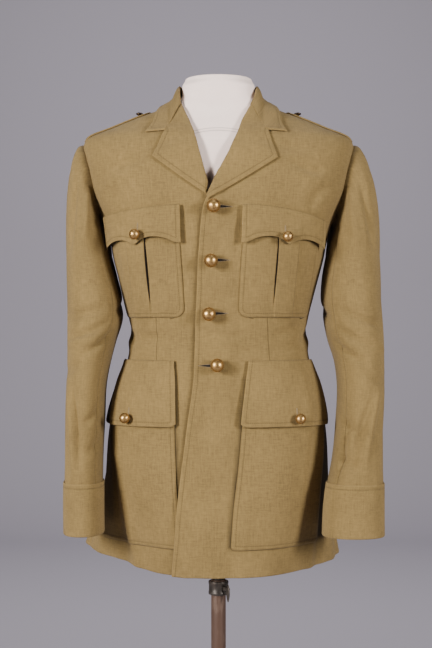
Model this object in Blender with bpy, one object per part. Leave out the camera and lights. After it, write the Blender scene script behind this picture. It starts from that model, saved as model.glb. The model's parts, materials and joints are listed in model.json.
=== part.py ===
"""A khaki wool service jacket, worn by a limbless dress form on a height-adjustable stand.

Metres, +Z up, the front faces -Y. The origin is the centre of the base's underside.
Every cloth piece is a thin wall. The body pieces lie on one garment surface, whose level rings
are worked out from the BODY table, and what is sewn on a panel is that surface moved outwards.
A place on the surface is given by its height and its arc, the distance round the ring from the
middle of the front, positive towards the wearer's left.
"""
import bmesh
import bpy
import math
import numpy as np
from mathutils import Vector

for old in list(bpy.data.objects):
    bpy.data.objects.remove(old, do_unlink=True)

MM = 0.001
SEAM = 0.3 * MM                 # clearance between neighbouring pieces
WOOL = 2.0 * MM                 # one layer of faced wool with its canvas
STRAP_WOOL = 2.6 * MM           # a doubled shoulder strap
SIDES = {"left": 1, "right": -1}   # the wearer's left is at +X

# The garment surface, one row for each level ring, in millimetres and degrees.
# front and back are the depths from the axis, square is the ring's superellipse power, and the
# spreads widen the rear half of the skirt towards each side.
BODY_COLUMNS = ("height", "half_width", "front", "back", "square",
                "spread_left", "spread_right", "swing")
BODY = [
    (740, 184, 131, 155, 3.30, 0.45, 0.60, 3.0),
    (810, 183, 127, 143, 3.05, 0.33, 0.43, 2.4),
    (880, 182, 122, 130, 2.85, 0.20, 0.26, 1.8),
    (950, 181, 117, 118, 2.65, 0.08, 0.10, 1.0),
    (1000, 176, 113, 112, 2.50, 0.03, 0.04, 0.4),
    (1050, 165, 108, 105, 2.40, 0.01, 0.01, 0.0),
    (1085, 154, 105, 100, 2.35, 0.00, 0.00, 0.0),
    (1120, 149, 103, 97, 2.30, 0.00, 0.00, 0.0),
    (1153, 151, 105, 99, 2.30, 0.00, 0.00, 0.0),
    (1187, 159, 109, 103, 2.30, 0.00, 0.00, 0.0),
    (1221, 168, 114, 108, 2.32, 0.00, 0.00, 0.0),
    (1255, 177, 118, 112, 2.35, 0.00, 0.00, 0.0),
    (1290, 184, 120, 114, 2.40, 0.00, 0.00, 0.0),
    (1320, 194, 120, 115, 2.45, 0.00, 0.00, 0.0),
    (1360, 211, 118, 116, 2.50, 0.00, 0.00, 0.0),
    (1400, 221, 111, 115, 2.50, 0.00, 0.00, 0.0),
    (1430, 226, 102, 108, 2.45, 0.00, 0.00, 0.0),
    (1450, 227, 91, 98, 2.35, 0.00, 0.00, 0.0),
    (1458, 222, 86, 92, 2.30, 0.00, 0.00, 0.0),
    (1475, 183, 73, 80, 2.20, 0.00, 0.00, 0.0),
    (1492, 142, 63, 70, 2.15, 0.00, 0.00, 0.0),
    (1506, 105, 58, 64, 2.10, 0.00, 0.00, 0.0),
    (1520, 78, 56, 60, 2.05, 0.00, 0.00, 0.0),
]

# The inner edges of the two fronts, the centre line of the buttons and pockets, and the front and
# rear lines of the pockets: arcs in millimetres at each height. The pocket lines are distances
# from the centre line. Above the break at 1357 the edges are the roll lines of the lapels.
LINES_COLUMNS = ("height", "left_edge", "right_edge", "centre", "pocket_front", "pocket_rear")
LINES = [
    (742, -84, -8, -28, 38, 226),
    (785, -77, -7, -27, 40, 228),
    (851, -70, -3, -25, 44, 230),
    (906, -63, 0, -22, 49, 231),
    (980, -52, 4, -18, 54, 232),
    (1062, -40, 7, -13, 60, 208),
    (1087, -39, 8, -12, 62, 194),
    (1124, -38, 8, -12, 50, 188),
    (1157, -37, 8, -12, 44, 184),
    (1200, -35, 8, -12, 45, 186),
    (1249, -33, 8, -12, 48, 190),
    (1292, -30, 8, -12, 51, 193),
    (1322, -26, 8, -12, 52, 193),
    (1341, -21, 3, -12, 53, 193),
    (1357, -15, -12, -12, 54, 193),
    (1383, -6, -17, -12, 55, 193),
    (1413, 8, -25, -12, 56, 193),
    (1458, 28, -42, -12, 57, 193),
    (1483, 39, -51, -12, 58, 193),
    (1506, 55, -66, -12, 59, 193),
    (1520, 74, -82, -12, 59, 193),
]

# Where the columns of a front's grid stand between the pocket lines, as fractions of the pocket.
# The four in the middle are the folds of the box pleat.
POCKET_COLUMNS = (0.0, 0.18, 0.355, 0.375, 0.515, 0.655, 0.675, 0.84, 1.0)
PLEAT = (3, 5)                  # the first and last raised columns of the box pleat
OVERLAP_FLAT, OVERLAP_SLOPE = 5 * MM, 22 * MM      # where the left front comes down beside the right
OVERLAP_GAP = 1.2 * MM
OVERLAP_FROM, OVERLAP_END = 1362 * MM, 1400 * MM   # the heights between which the overlap runs out
POCKET_RIDE = 3.2 * MM          # how far the left front's edge rises over the right lower pocket
RIDE_FROM, RIDE_END = -62 * MM, -38 * MM           # the arcs between which that rise runs out
RIDE_LOW, RIDE_HIGH = 890 * MM, 940 * MM           # and the heights

HEM, NECKLINE = 742 * MM, 1520 * MM
HEM_RISE, RISE_MIDDLE, RISE_REACH = 12 * MM, -115, 55   # the hem's rise at the wearer's right rear
ARMPIT, SHOULDER_TIP = 1312 * MM, 1447 * MM
ARMHOLE_FRONT, ARMHOLE_BACK = 60 * MM, 64 * MM     # the armhole's half widths, along the arc
SIDE_ANGLE, SIDE_ANGLE_HEM = 96, 106               # the side seam, in degrees from the front
LOOP_STEPS = 8                                     # rows from the armpit to the shoulder tip
BODY_ROWS = (742, 785, 833, 882, 931, 980, 1031, 1082, 1120, 1157, 1192, 1226, 1258, 1287)
SHOULDER_ROWS = (1457, 1467, 1479, 1492, 1506, 1520)
BACK_COLUMNS = 7
EVEN_FROM, EVEN_BY = 1325 * MM, 1405 * MM          # where a front's columns leave the pocket's lines
COLUMN_LEAST = 7 * MM                              # the least space between a front's columns

# The sleeves below the head, one row for each level section, in millimetres: the inner and outer
# edges, the centre's place along Y, and half the depth.
SLEEVE_COLUMNS = ("height", "inner", "outer", "centre_y", "half_depth")
SLEEVES = {
    "right": [
        (806, 187.5, 253.5, -70, 54),
        (850, 188.0, 254.0, -67, 55),
        (893, 190.0, 254.0, -62, 57),
        (922, 190.5, 254.0, -57, 58),
        (987, 188.5, 253.8, -45, 62),
        (1053, 186.0, 252.5, -32, 66),
        (1086, 180.0, 252.0, -25, 68),
        (1120, 171.5, 252.8, -18, 71),
        (1153, 166.0, 253.8, -10, 73),
        (1187, 168.0, 254.4, -4, 75),
        (1225, 177.0, 255.0, 0, 77),
        (1262, 186.0, 255.0, 4, 78),
    ],
    "left": [
        (806, 166.5, 266.0, -100, 45),
        (850, 169.5, 267.5, -93, 46),
        (893, 180.0, 269.0, -83, 49),
        (922, 185.7, 270.0, -75, 52),
        (987, 193.0, 272.3, -58, 58),
        (1053, 196.7, 274.7, -40, 64),
        (1086, 193.0, 275.5, -30, 67),
        (1120, 184.5, 276.0, -22, 70),
        (1153, 180.5, 275.0, -14, 73),
        (1187, 178.0, 273.0, -8, 75),
        (1225, 181.0, 271.0, -2, 77),
        (1262, 187.0, 268.5, 3, 78),
    ],
}
SLEEVE_POWER = 2.25             # how square the sleeve's sections are
SLEEVE_ROWS = (1262, 1225, 1187, 1153, 1120, 1086, 1053, 1010, 965, 922, 893, 850, 807)
CUFF_ROWS = (893, 850, 806)
HEAD_STEPS = 5                  # rows from the armhole to the first level section
LOOP_POINTS = 2 * LOOP_STEPS    # points round the armhole and each section
UNDER_FIRST, UNDER_LAST = -3, 2  # the undersleeve's seams, in steps from the underarm point
HEAD_REACH = (8 * MM, 27 * MM)  # how far the head runs straight out at the armpit and at the tip
HEAD_SLOPE = 0.14               # how steeply it leaves the shoulder's tip
HEAD_DROP = (18 * MM, 120 * MM)  # how far it runs straight down at its lower end

# The lapels, as (arc, height) in millimetres: the roll line from the break up, the break end of
# the outer edge, the tip, the notch, and the top of the gorge seam.
LAPELS = {
    "left": {"roll": [(-9, 1365), (8, 1413), (28, 1458), (39, 1482), (57, 1508)],
             "break": (4, 1353), "tip": (94, 1414), "notch": (79, 1455)},
    "right": {"roll": [(-22, 1372), (-30, 1412), (-46, 1458), (-54, 1483), (-68, 1508)],
              "break": (-30, 1362), "tip": (-106, 1418), "notch": (-90, 1457)},
}
LAPEL_ROWS, LAPEL_COLUMNS = 8, 5
LAPEL_GAP, LAPEL_LIFT = 0.8 * MM, 2.0 * MM
LAPEL_TOP_GAP = 1.4 * MM        # how much further the lapels stand off beside the neck
LAPEL_TOP_FROM, LAPEL_TOP_BY = 1470 * MM, 1500 * MM   # the heights between which they do so

# The collar, one row for each rib from the centre back to the gorge, in millimetres: the top of
# the roll, the middle of the fall, and its edge. The stand's foot sits on the neckline.
COLLAR_COLUMNS = ("place", "roll_x", "roll_y", "roll_z", "mid_x", "mid_y", "mid_z",
                  "edge_x", "edge_y", "edge_z")
COLLAR = [
    (0.00, 0, 62, 1551, 0, 77, 1526, 0, 85, 1492),
    (0.20, 30, 57, 1551, 38, 71, 1526, 44, 80, 1491),
    (0.40, 53, 41, 1550, 66, 52, 1528, 80, 62, 1498),
    (0.58, 64, 16, 1549, 79, 22, 1532, 102, 28, 1509),
    (0.72, 67, -9, 1546, 82, -10, 1528, 104, -12, 1508),
    (0.86, 66, -27, 1539, 83, -38, 1513, 103, -47, 1490),
    (1.00, 64, -37, 1528, 84, -80, 1464, 115.5, -77, 1460),
]
COLLAR_SHIFT = -4.5 * MM        # the collar's ends sit this far towards the wearer's right
COLLAR_WALL = 2.2 * MM
COLLAR_FOLD = 3.6 * MM          # the roll's outer radius
COLLAR_CROWN = 2.2 * MM         # how full the fall is under the roll
COLLAR_STEPS = 11               # ribs from the centre back to each end
COLLAR_FALL = 4                 # rows down the fall
COLLAR_GAP = 2.2 * MM           # how far the fall stands off the cloth under it

# Pocket flaps, in millimetres: the upper corners' heights and the drop of the lower edge at
# fractions of the width. The chest flap has a point at its middle and one at each end.
CHEST_POCKET = (1157, 1333)
CHEST_FLAP_TOP = 1338
CHEST_FLAP_DROPS = ((0.0, 62), (0.06, 60), (0.22, 52), (0.37, 50), (0.515, 61), (0.66, 53), (0.8, 54),
                    (0.93, 61), (1.0, 66))
LOWER_POCKET = (785, 1082)
LOWER_FLAP_TOP, LOWER_FLAP_DROP = 1087, 107
FLAP_OVERHANG = 3 * MM          # how far a flap passes each side of its pocket
POCKET_GAP = 0.35 * MM
POCKET_SWELL = 5 * MM           # how far the lower pocket stands out at its fullest
PLEAT_RISE = 1.8 * MM
FLAP_STAND = (0.9 * MM, 4.5 * MM)   # how far a flap stands off at its seam and at its lower edge

# Ball buttons: (arc from the centre line, height) in millimetres.
FRONT_BUTTONS = ((4, 1334), (0, 1249), (-3, 1164), (10, 1079))
FRONT_BALL, POCKET_BALL, STRAP_BALL = 22 * MM, 17 * MM, 12.5 * MM
CHEST_BUTTON_HEIGHTS = {"left": 1288, "right": 1293}
CHEST_BUTTON_PLACE, CHEST_FLAP_MIDDLE = 0.465, 61   # as a fraction of the pocket, and the drop there
LOWER_BUTTON_HEIGHT, LOWER_BUTTON_PLACES = 992, {"left": 0.49, "right": 0.42}
SHANK_RADIUS, SHANK_LENGTH = 3.2 * MM, 1.6 * MM
BUTTON_SINK = {"chest_button_": 0.05 * MM, "lower_button_": 0.5 * MM}   # for the flaps' flat facets
BALL_STEPS, FRONT_SEGMENTS, SMALL_SEGMENTS = 6, 14, 10

# The shoulder straps: rows along the shoulder, and half the width at each.
STRAP_ROWS = ((1459, 23), (1465, 22.5), (1473, 21.5), (1482, 20.5), (1490, 19.5), (1498, 17), (1502, 8))
STRAP_GAP = 1.1 * MM
STRAP_ANGLE = 90                # where the strap runs, in degrees from the front
STRAP_BUTTON_HEIGHT, STRAP_BUTTON_FLATNESS = 1496, 0.55

# The dress form inside, one row for each level ring, in millimetres, up to its shoulders; above
# them it follows the garment's surface, moved in by FORM_INSET.
FORM_COLUMNS = ("height", "half_width", "front", "back", "square")
FORM = [
    (800, 138, 92, 100, 2.3),
    (830, 146, 97, 106, 2.3),
    (900, 153, 100, 109, 2.3),
    (980, 153, 98, 106, 2.3),
    (1050, 141, 91, 95, 2.25),
    (1120, 129, 86, 86, 2.2),
    (1187, 138, 93, 92, 2.2),
    (1255, 153, 102, 101, 2.25),
    (1320, 167, 105, 104, 2.3),
    (1370, 182, 103, 104, 2.35),
    (1410, 193, 97, 101, 2.35),
    (1450, 199, 82, 88, 2.35),
]
FORM_ROWS = (800, 830, 900, 980, 1050, 1120, 1187, 1255, 1320, 1375, 1415, 1440,
             1457, 1468, 1480, 1493, 1506)
FORM_INSET, FORM_EDGE_INSET = 3.4 * MM, 4 * MM      # everywhere, and more at the shoulder's end
FORM_POINTS = 24
FORM_SHARE = (1425, 1477)       # the heights between which the form goes over to the garment's surface
EDGE_ROWS = (1457, 1482)        # the heights between which the shoulder's extra inset runs out
NECK_ROWS = ((1515, 74, 52), (1525, 63, 50), (1545, 61, 50), (1557, 61.5, 50.5), (1561, 58, 48))
NECK_POWER = 2.1
NECK_TOP, NECK_SHIFT = 1562, 2  # the flat top, and the neck's shift towards the back

# The stand: a round base, a tube with a clamp, and a rod that slides and turns in it.
BASE_RADIUS, BASE_THICK = 175 * MM, 8 * MM
HUB_RADIUS, HUB_TOP = 24 * MM, 46 * MM
TUBE_RADIUS, TUBE_BORE, TUBE_TOP = 12.5 * MM, 10 * MM, 714 * MM
ROD_RADIUS, ROD_BOTTOM, ROD_TOP = 9.7 * MM, 440 * MM, 790 * MM
CLAMP_RADIUS, CLAMP_BOTTOM, CLAMP_TOP = 17 * MM, 689 * MM, 712 * MM
SOCKET_RADIUS, SOCKET_BOTTOM = 15 * MM, 760 * MM
PLATE_RADIUS, PLATE_BOTTOM = 45 * MM, 793 * MM
SCREW_ANGLE, SCREW_RADIUS, SCREW_HOLE = 38, 2.6 * MM, 2.9 * MM
SCREW_REACH = 27 * MM           # the wing's middle, from the pole's axis
WING_SIZE = (3.2 * MM, 9 * MM, 27 * MM)

MATERIALS = {
    "wool": ((0.39, 0.29, 0.13), 0.92, 0.0),
    "calico": ((0.80, 0.73, 0.68), 0.9, 0.0),
    "brass": ((0.42, 0.25, 0.09), 0.35, 1.0),
    "dark_brass": ((0.05, 0.035, 0.02), 0.45, 1.0),
    "brown_paint": ((0.13, 0.075, 0.05), 0.5, 0.2),
    "dark_steel": ((0.06, 0.05, 0.04), 0.45, 0.9),
    "black_paint": ((0.03, 0.03, 0.03), 0.5, 0.1),
}


def material(name):
    """The named finish, made once and shared."""
    if name in bpy.data.materials:
        return bpy.data.materials[name]
    colour, roughness, metallic = MATERIALS[name]
    made = bpy.data.materials.new(name)
    made.use_nodes = True
    shader = made.node_tree.nodes["Principled BSDF"]
    shader.inputs["Base Color"].default_value = (*colour, 1)
    shader.inputs["Roughness"].default_value = roughness
    shader.inputs["Metallic"].default_value = metallic
    return made


def smooth_curve(at, places, values):
    """A cubic curve through a table's values, with its slopes taken from the neighbouring rows."""
    slopes = np.gradient(values, places)
    at = np.clip(at, places[0], places[-1])
    row = np.clip(np.searchsorted(places, at, side="right") - 1, 0, len(places) - 2)
    span = places[row + 1] - places[row]
    t = (at - places[row]) / span
    return ((2 * t**3 - 3 * t**2 + 1) * values[row] + (t**3 - 2 * t**2 + t) * span * slopes[row]
            + (-2 * t**3 + 3 * t**2) * values[row + 1] + (t**3 - t**2) * span * slopes[row + 1])


def column(table, names, name, at):
    """One column of a table, as a smooth curve over the table's first column."""
    rows = np.array(table, float)
    return smooth_curve(np.asarray(at, float), rows[:, 0], rows[:, names.index(name)])


def ease(x):
    """A soft step from 0 at 0 to 1 at 1."""
    x = np.clip(x, 0, 1)
    return x * x * (3 - 2 * x)


def ring_point(angle, height, half_width, front, back, power, spread, swing):
    """A point of a level ring: a superellipse with its own depth before and behind the axis."""
    cosine, sine = np.cos(angle), np.sin(angle)
    along = -np.sign(cosine) * np.abs(cosine) ** (2 / power)
    depth = np.where(cosine > 0, front, back)
    x = half_width * np.sign(sine) * np.abs(sine) ** (2 / power) * (1 + spread * along)
    y = depth * along
    turned_x = x * np.cos(swing) - y * np.sin(swing)
    turned_y = x * np.sin(swing) + y * np.cos(swing)
    return np.stack([turned_x, turned_y, height + 0 * x], axis=-1)


def garment(angle, height):
    """The garment's outer surface at an angle from the middle of the front, in radians."""
    angle, height = np.broadcast_arrays(np.asarray(angle, float), np.asarray(height, float))
    at = {name: column(BODY, BODY_COLUMNS, name, height / MM) for name in BODY_COLUMNS[1:]}
    spread = np.where(np.sin(angle) > 0, at["spread_left"], at["spread_right"])
    return ring_point(angle, height, at["half_width"] * MM, at["front"] * MM, at["back"] * MM,
                      at["square"], spread, np.radians(at["swing"]))


RING_ANGLES = np.linspace(-np.pi, np.pi, 721)


def arc_to_angle(arc, height):
    """The angle at an arc length from the middle of the front, at one height or at many."""
    arc, height = np.broadcast_arrays(np.asarray(arc, float), np.asarray(height, float))
    angles = np.empty(arc.shape)
    for level in np.unique(height):
        lengths = ring_lengths(level)
        chosen = height == level
        angles[chosen] = np.interp(arc[chosen], lengths, RING_ANGLES)
    return angles


def ring_lengths(level):
    """Arc lengths of the ring at one height, from the middle of the front, at RING_ANGLES."""
    points = garment(RING_ANGLES, level)
    lengths = np.concatenate([[0], np.cumsum(np.linalg.norm(np.diff(points, axis=0), axis=1))])
    return lengths - lengths[len(RING_ANGLES) // 2]


def angle_to_arc(angle, level):
    """The arc length at an angle of the ring at one height."""
    return float(np.interp(angle, RING_ANGLES, ring_lengths(level)))


def outward(angle, height):
    """The garment surface's unit normal, from differences along the ring and up the surface."""
    step, rise = 0.004, 1.5 * MM
    along = garment(angle + step, height) - garment(angle - step, height)
    up = garment(angle, height + rise) - garment(angle, height - rise)
    normal = np.cross(along, up)
    return normal / np.linalg.norm(normal, axis=-1, keepdims=True)


def on_body(arc, height, lift=0.0):
    """A point of the garment's surface by arc and height, moved out by a lift."""
    angle = arc_to_angle(arc, height)
    lift = np.broadcast_to(np.asarray(lift, float), angle.shape)
    return garment(angle, np.asarray(height, float)) + outward(angle, height) * lift[..., None]


def side_angle(height):
    """The side and shoulder seam's angle at a height."""
    low = 1 - ease((np.asarray(height, float) - HEM) / (ARMPIT - HEM))
    return np.radians(SIDE_ANGLE + (SIDE_ANGLE_HEM - SIDE_ANGLE) * low)


def loop_height(turn, shrink=0.0):
    """The armhole's height at a turn round it, 0 at the armpit and pi at the shoulder tip."""
    return ARMPIT + shrink + (SHOULDER_TIP - ARMPIT - 2 * shrink) * (1 - np.cos(turn)) / 2


def armhole_arc(side, turn, shrink=0.0):
    """The armhole's arc at a turn: before the side seam up to pi, and behind it after."""
    height = loop_height(turn, shrink)
    sign = SIDES[side]
    seam = np.array([angle_to_arc(sign * float(side_angle(z)), z) for z in np.atleast_1d(height)])
    width = np.where(np.sin(turn) >= 0, ARMHOLE_FRONT, ARMHOLE_BACK) - shrink
    return seam - sign * width * np.sin(turn)


def panel_heights():
    """The heights of a body panel's rows: the skirt and chest, the armhole, and the shoulder."""
    turns = np.linspace(0, math.pi, LOOP_STEPS + 1)
    return np.concatenate([np.array(BODY_ROWS) * MM, loop_height(turns), np.array(SHOULDER_ROWS) * MM])


def outer_limit(side, front):
    """The arc of a body panel's outer edge at each row: side seam, armhole, then shoulder seam."""
    sign = SIDES[side]
    turns = np.linspace(0, math.pi, LOOP_STEPS + 1)
    if not front:
        turns = -turns
    below = [angle_to_arc(sign * float(side_angle(z * MM)), z * MM) for z in BODY_ROWS]
    above = [angle_to_arc(sign * float(side_angle(z * MM)), z * MM) for z in SHOULDER_ROWS]
    return np.concatenate([below, armhole_arc(side, turns), above])


def line(name, height):
    """A named line of the fronts, as an arc in metres at a height in metres."""
    return column(LINES, LINES_COLUMNS, name, np.asarray(height, float) / MM) * MM


def front_arcs(side, heights, limit):
    """The arcs of a front's grid, one row for each height, from its inner edge to its outer one."""
    sign = SIDES[side]
    edge = line(side + "_edge", heights)
    centre = line("centre", heights)
    first, last = line("pocket_front", heights), line("pocket_rear", heights)
    pocket = [centre + sign * (first + (last - first) * place) for place in POCKET_COLUMNS]
    if side == "left":
        over = line("right_edge", heights) + OVERLAP_FLAT
        inner = [edge, (edge + over) / 2, over]
    else:
        inner = [edge, (edge + pocket[0]) / 2]
    arcs = np.stack(inner + pocket + [(pocket[-1] + limit) / 2, limit], axis=1)
    places = np.linspace(0, 1, arcs.shape[1])
    even = edge[:, None] + (limit - edge)[:, None] * places
    inward = limit[:, None] - sign * COLUMN_LEAST * (arcs.shape[1] - 1 - np.arange(arcs.shape[1]))
    arcs = np.minimum(arcs * sign, inward * sign) * sign
    upper = ease((heights - EVEN_FROM) / (EVEN_BY - EVEN_FROM))[:, None]
    return arcs * (1 - upper) + even * upper


def overlap_lift(arc, height):
    """How far the left front stands out where it laps over the right one and its lower pocket."""
    over = 1 - ease((arc - line("right_edge", height) - OVERLAP_FLAT) / OVERLAP_SLOPE)
    below = 1 - ease((height - OVERLAP_FROM) / (OVERLAP_END - OVERLAP_FROM))
    beside = 1 - ease((arc - RIDE_FROM) / (RIDE_END - RIDE_FROM))
    low = 1 - ease((height - RIDE_LOW) / (RIDE_HIGH - RIDE_LOW))
    return (WOOL + OVERLAP_GAP) * over * below + POCKET_RIDE * beside * low


def hem_levels(arcs, heights):
    """The heights of a panel's points: level rows, but for the hem, which rises at one side."""
    levels = np.repeat(heights[:, None], arcs.shape[1], axis=1)
    angles = np.degrees(arc_to_angle(arcs[0], levels[0]))
    levels[0] += HEM_RISE * ease(1 - np.abs(angles - RISE_MIDDLE) / RISE_REACH)
    return levels


def new_object(name, vertices, faces, finish, smooth=True):
    """A mesh object from vertices and faces, turned so that its faces point outwards."""
    mesh = bpy.data.meshes.new(name)
    mesh.from_pydata([tuple(v) for v in vertices], [], faces)
    work = bmesh.new()
    work.from_mesh(mesh)
    bmesh.ops.triangulate(work, faces=[f for f in work.faces if len(f.verts) > 3])
    if work.calc_volume(signed=True) < 0:
        bmesh.ops.reverse_faces(work, faces=work.faces)
    work.to_mesh(mesh)
    work.free()
    made = bpy.data.objects.new(name, mesh)
    bpy.context.scene.collection.objects.link(made)
    mesh.materials.append(material(finish))
    if smooth:
        mesh.shade_smooth()
        mesh.set_sharp_from_angle(angle=math.radians(40))
    return made


def grid_faces(rows, columns, wrap, offset, flip):
    """Quads of a grid whose vertices start at an offset."""
    faces = []
    for r in range(rows - 1):
        for c in range(columns if wrap else columns - 1):
            d = (c + 1) % columns
            quad = [offset + r * columns + c, offset + r * columns + d,
                    offset + (r + 1) * columns + d, offset + (r + 1) * columns + c]
            faces.append(quad[::-1] if flip else quad)
    return faces


def cloth(name, outer, inner, finish="wool", wrap=False):
    """A closed wall of cloth between an outer and an inner grid of points."""
    rows, columns = outer.shape[:2]
    count = rows * columns
    faces = grid_faces(rows, columns, wrap, 0, False) + grid_faces(rows, columns, wrap, count, True)
    for r in (0, rows - 1):
        for c in range(columns if wrap else columns - 1):
            d = (c + 1) % columns
            quad = [r * columns + d, r * columns + c, count + r * columns + c, count + r * columns + d]
            faces.append(quad if r == 0 else quad[::-1])
    if not wrap:
        for c in (0, columns - 1):
            for r in range(rows - 1):
                low, high = r * columns + c, (r + 1) * columns + c
                quad = [low, high, count + high, count + low]
                faces.append(quad if c == 0 else quad[::-1])
    vertices = np.concatenate([outer.reshape(-1, 3), inner.reshape(-1, 3)])
    return new_object(name, vertices, faces, finish)


def trim(grid, first=False, last=False, top=False):
    """Draws the side edges of a grid in by half a seam's clearance."""
    grid = grid.copy()
    for wanted, edge, beside in ((first, 0, 1), (last, -1, -2)):
        if wanted:
            step = grid[:, beside] - grid[:, edge]
            grid[:, edge] += step / np.linalg.norm(step, axis=-1, keepdims=True) * SEAM * 0.6
    if top:
        step = grid[-2] - grid[-1]
        grid[-1] += step / np.linalg.norm(step, axis=-1, keepdims=True) * SEAM
    return grid


def body_panel(name, arcs, heights, lift):
    """A body panel: its grid on the garment's surface, and the same grid moved in by the wool."""
    levels = hem_levels(arcs, heights)
    outer = trim(on_body(arcs, levels, lift), first=True, last=True)
    inner = trim(on_body(arcs, levels, lift - WOOL), first=True, last=True)
    return cloth(name, outer, inner)


def fronts():
    """The two fronts. The left one laps over the right one below the break."""
    heights = panel_heights()
    for side in SIDES:
        arcs = front_arcs(side, heights, outer_limit(side, True))
        lift = overlap_lift(arcs, heights[:, None]) if side == "left" else np.zeros(arcs.shape)
        body_panel("front_" + side, arcs, heights, lift)


def backs():
    """The two backs, which meet at the centre back seam."""
    heights = panel_heights()
    for side, sign in SIDES.items():
        middle = np.array([angle_to_arc(sign * math.pi, z) for z in heights])
        limit = outer_limit(side, False)
        places = np.linspace(0, 1, BACK_COLUMNS + 1)
        arcs = limit[:, None] + (middle - limit)[:, None] * places
        body_panel("back_" + side, arcs, heights, np.zeros(arcs.shape))


def sleeve_section(side, height):
    """The sleeve's level section: a squarish ellipse, from its inner point round by the front."""
    at = {name: column(SLEEVES[side], SLEEVE_COLUMNS, name, height / MM) * MM
          for name in SLEEVE_COLUMNS[1:]}
    turns = np.arange(LOOP_POINTS) * 2 * math.pi / LOOP_POINTS
    middle, half = (at["inner"] + at["outer"]) / 2, (at["outer"] - at["inner"]) / 2
    cosine, sine = np.cos(turns), np.sin(turns)
    x = middle - half * np.sign(cosine) * np.abs(cosine) ** (2 / SLEEVE_POWER)
    y = at["centre_y"] - at["half_depth"] * np.sign(sine) * np.abs(sine) ** (2 / SLEEVE_POWER)
    return np.stack([SIDES[side] * x, y, np.full(LOOP_POINTS, height)], axis=1)


def sleeve_grid(side):
    """The whole sleeve: the head swept from the armhole to a level section, then level sections."""
    turns = np.arange(LOOP_POINTS) * 2 * math.pi / LOOP_POINTS
    shrink = 2.2 * SEAM
    arcs, heights = armhole_arc(side, turns, shrink), loop_height(turns, shrink)
    start = on_body(arcs, heights, 1.2 * SEAM)
    away = outward(arc_to_angle(arcs, heights), heights)
    away[:, 2] = HEAD_SLOPE * (1 - np.cos(turns)) / 2
    away /= np.linalg.norm(away, axis=1, keepdims=True)
    high = ((1 - np.cos(turns)) / 2)[:, None]
    reach = HEAD_REACH[0] + (HEAD_REACH[1] - HEAD_REACH[0]) * high
    drop = HEAD_DROP[0] + (HEAD_DROP[1] - HEAD_DROP[0]) * high
    end = sleeve_section(side, SLEEVE_ROWS[0] * MM)
    points = []
    for t in np.linspace(0, 1, HEAD_STEPS + 1)[:-1]:
        points.append((1 - t)**3 * start + 3 * (1 - t)**2 * t * (start + away * reach)
                      + 3 * (1 - t) * t**2 * (end + np.array([0, 0, 1]) * drop) + t**3 * end)
    points += [sleeve_section(side, z * MM) for z in SLEEVE_ROWS]
    return np.array(points)


def grid_normals(grid):
    """Unit normals of a grid that is closed along its columns, pointing away from its middle."""
    along = np.roll(grid, -1, axis=1) - np.roll(grid, 1, axis=1)
    down = np.gradient(grid, axis=0)
    normal = np.cross(along, down)
    normal /= np.linalg.norm(normal, axis=-1, keepdims=True)
    middle = grid.mean(axis=1, keepdims=True)
    return normal * np.sign(np.sum(normal * (grid - middle)))


def sleeves():
    """Each sleeve's topsleeve and undersleeve, and the turned cuff over its end."""
    for side in SIDES:
        grid = sleeve_grid(side)
        normals = grid_normals(grid)
        under = np.arange(UNDER_FIRST, UNDER_LAST + 1) % LOOP_POINTS
        over = np.arange(UNDER_LAST, LOOP_POINTS + UNDER_FIRST + 1) % LOOP_POINTS
        for name, chosen in (("undersleeve_", under), ("topsleeve_", over)):
            outer = trim(grid[:, chosen], first=True, last=True)
            inner = trim((grid - normals * WOOL)[:, chosen], first=True, last=True)
            cloth(name + side, outer, inner)
        cuff = np.array([sleeve_section(side, z * MM) for z in CUFF_ROWS])
        lift = grid_normals(cuff)
        cloth("cuff_" + side, cuff + lift * (WOOL + 1.2 * SEAM), cuff + lift * 1.2 * SEAM, wrap=True)


def polyline(points, places):
    """Points at fractions of the length of a line through some points."""
    points = np.array(points, float)
    lengths = np.concatenate([[0], np.cumsum(np.linalg.norm(np.diff(points, axis=0), axis=1))])
    at = np.asarray(places) * lengths[-1]
    return np.stack([np.interp(at, lengths, points[:, k]) for k in range(points.shape[1])], axis=-1)


def lapels():
    """Each lapel: rows from the roll line to the outer edge, the last one along the gorge seam."""
    for side in SIDES:
        shape = LAPELS[side]
        across, up = np.linspace(0, 1, LAPEL_COLUMNS), np.linspace(0, 1, LAPEL_ROWS)
        roll = polyline(shape["roll"], up)
        edge = polyline([shape["break"], shape["tip"]], up)
        gorge = polyline([shape["roll"][-1], shape["notch"], shape["tip"]], across)
        straight = roll[-1] + (edge[-1] - roll[-1]) * across[:, None]
        rows = roll[:, None] + (edge - roll)[:, None] * across[:, None]
        rows += (gorge - straight) * (up**2.5)[:, None, None]
        arcs, heights = rows[..., 0] * MM, rows[..., 1] * MM
        gap = LAPEL_GAP + LAPEL_LIFT * ease(across) + LAPEL_TOP_GAP * ease(
            (heights - LAPEL_TOP_FROM) / (LAPEL_TOP_BY - LAPEL_TOP_FROM))
        base = overlap_lift(arcs, heights) if side == "left" else 0
        outer = on_body(arcs, heights, base + gap + WOOL)
        inner = on_body(arcs, heights, base + gap)
        cloth("lapel_" + side, trim(outer, top=True), trim(inner, top=True))


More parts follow.
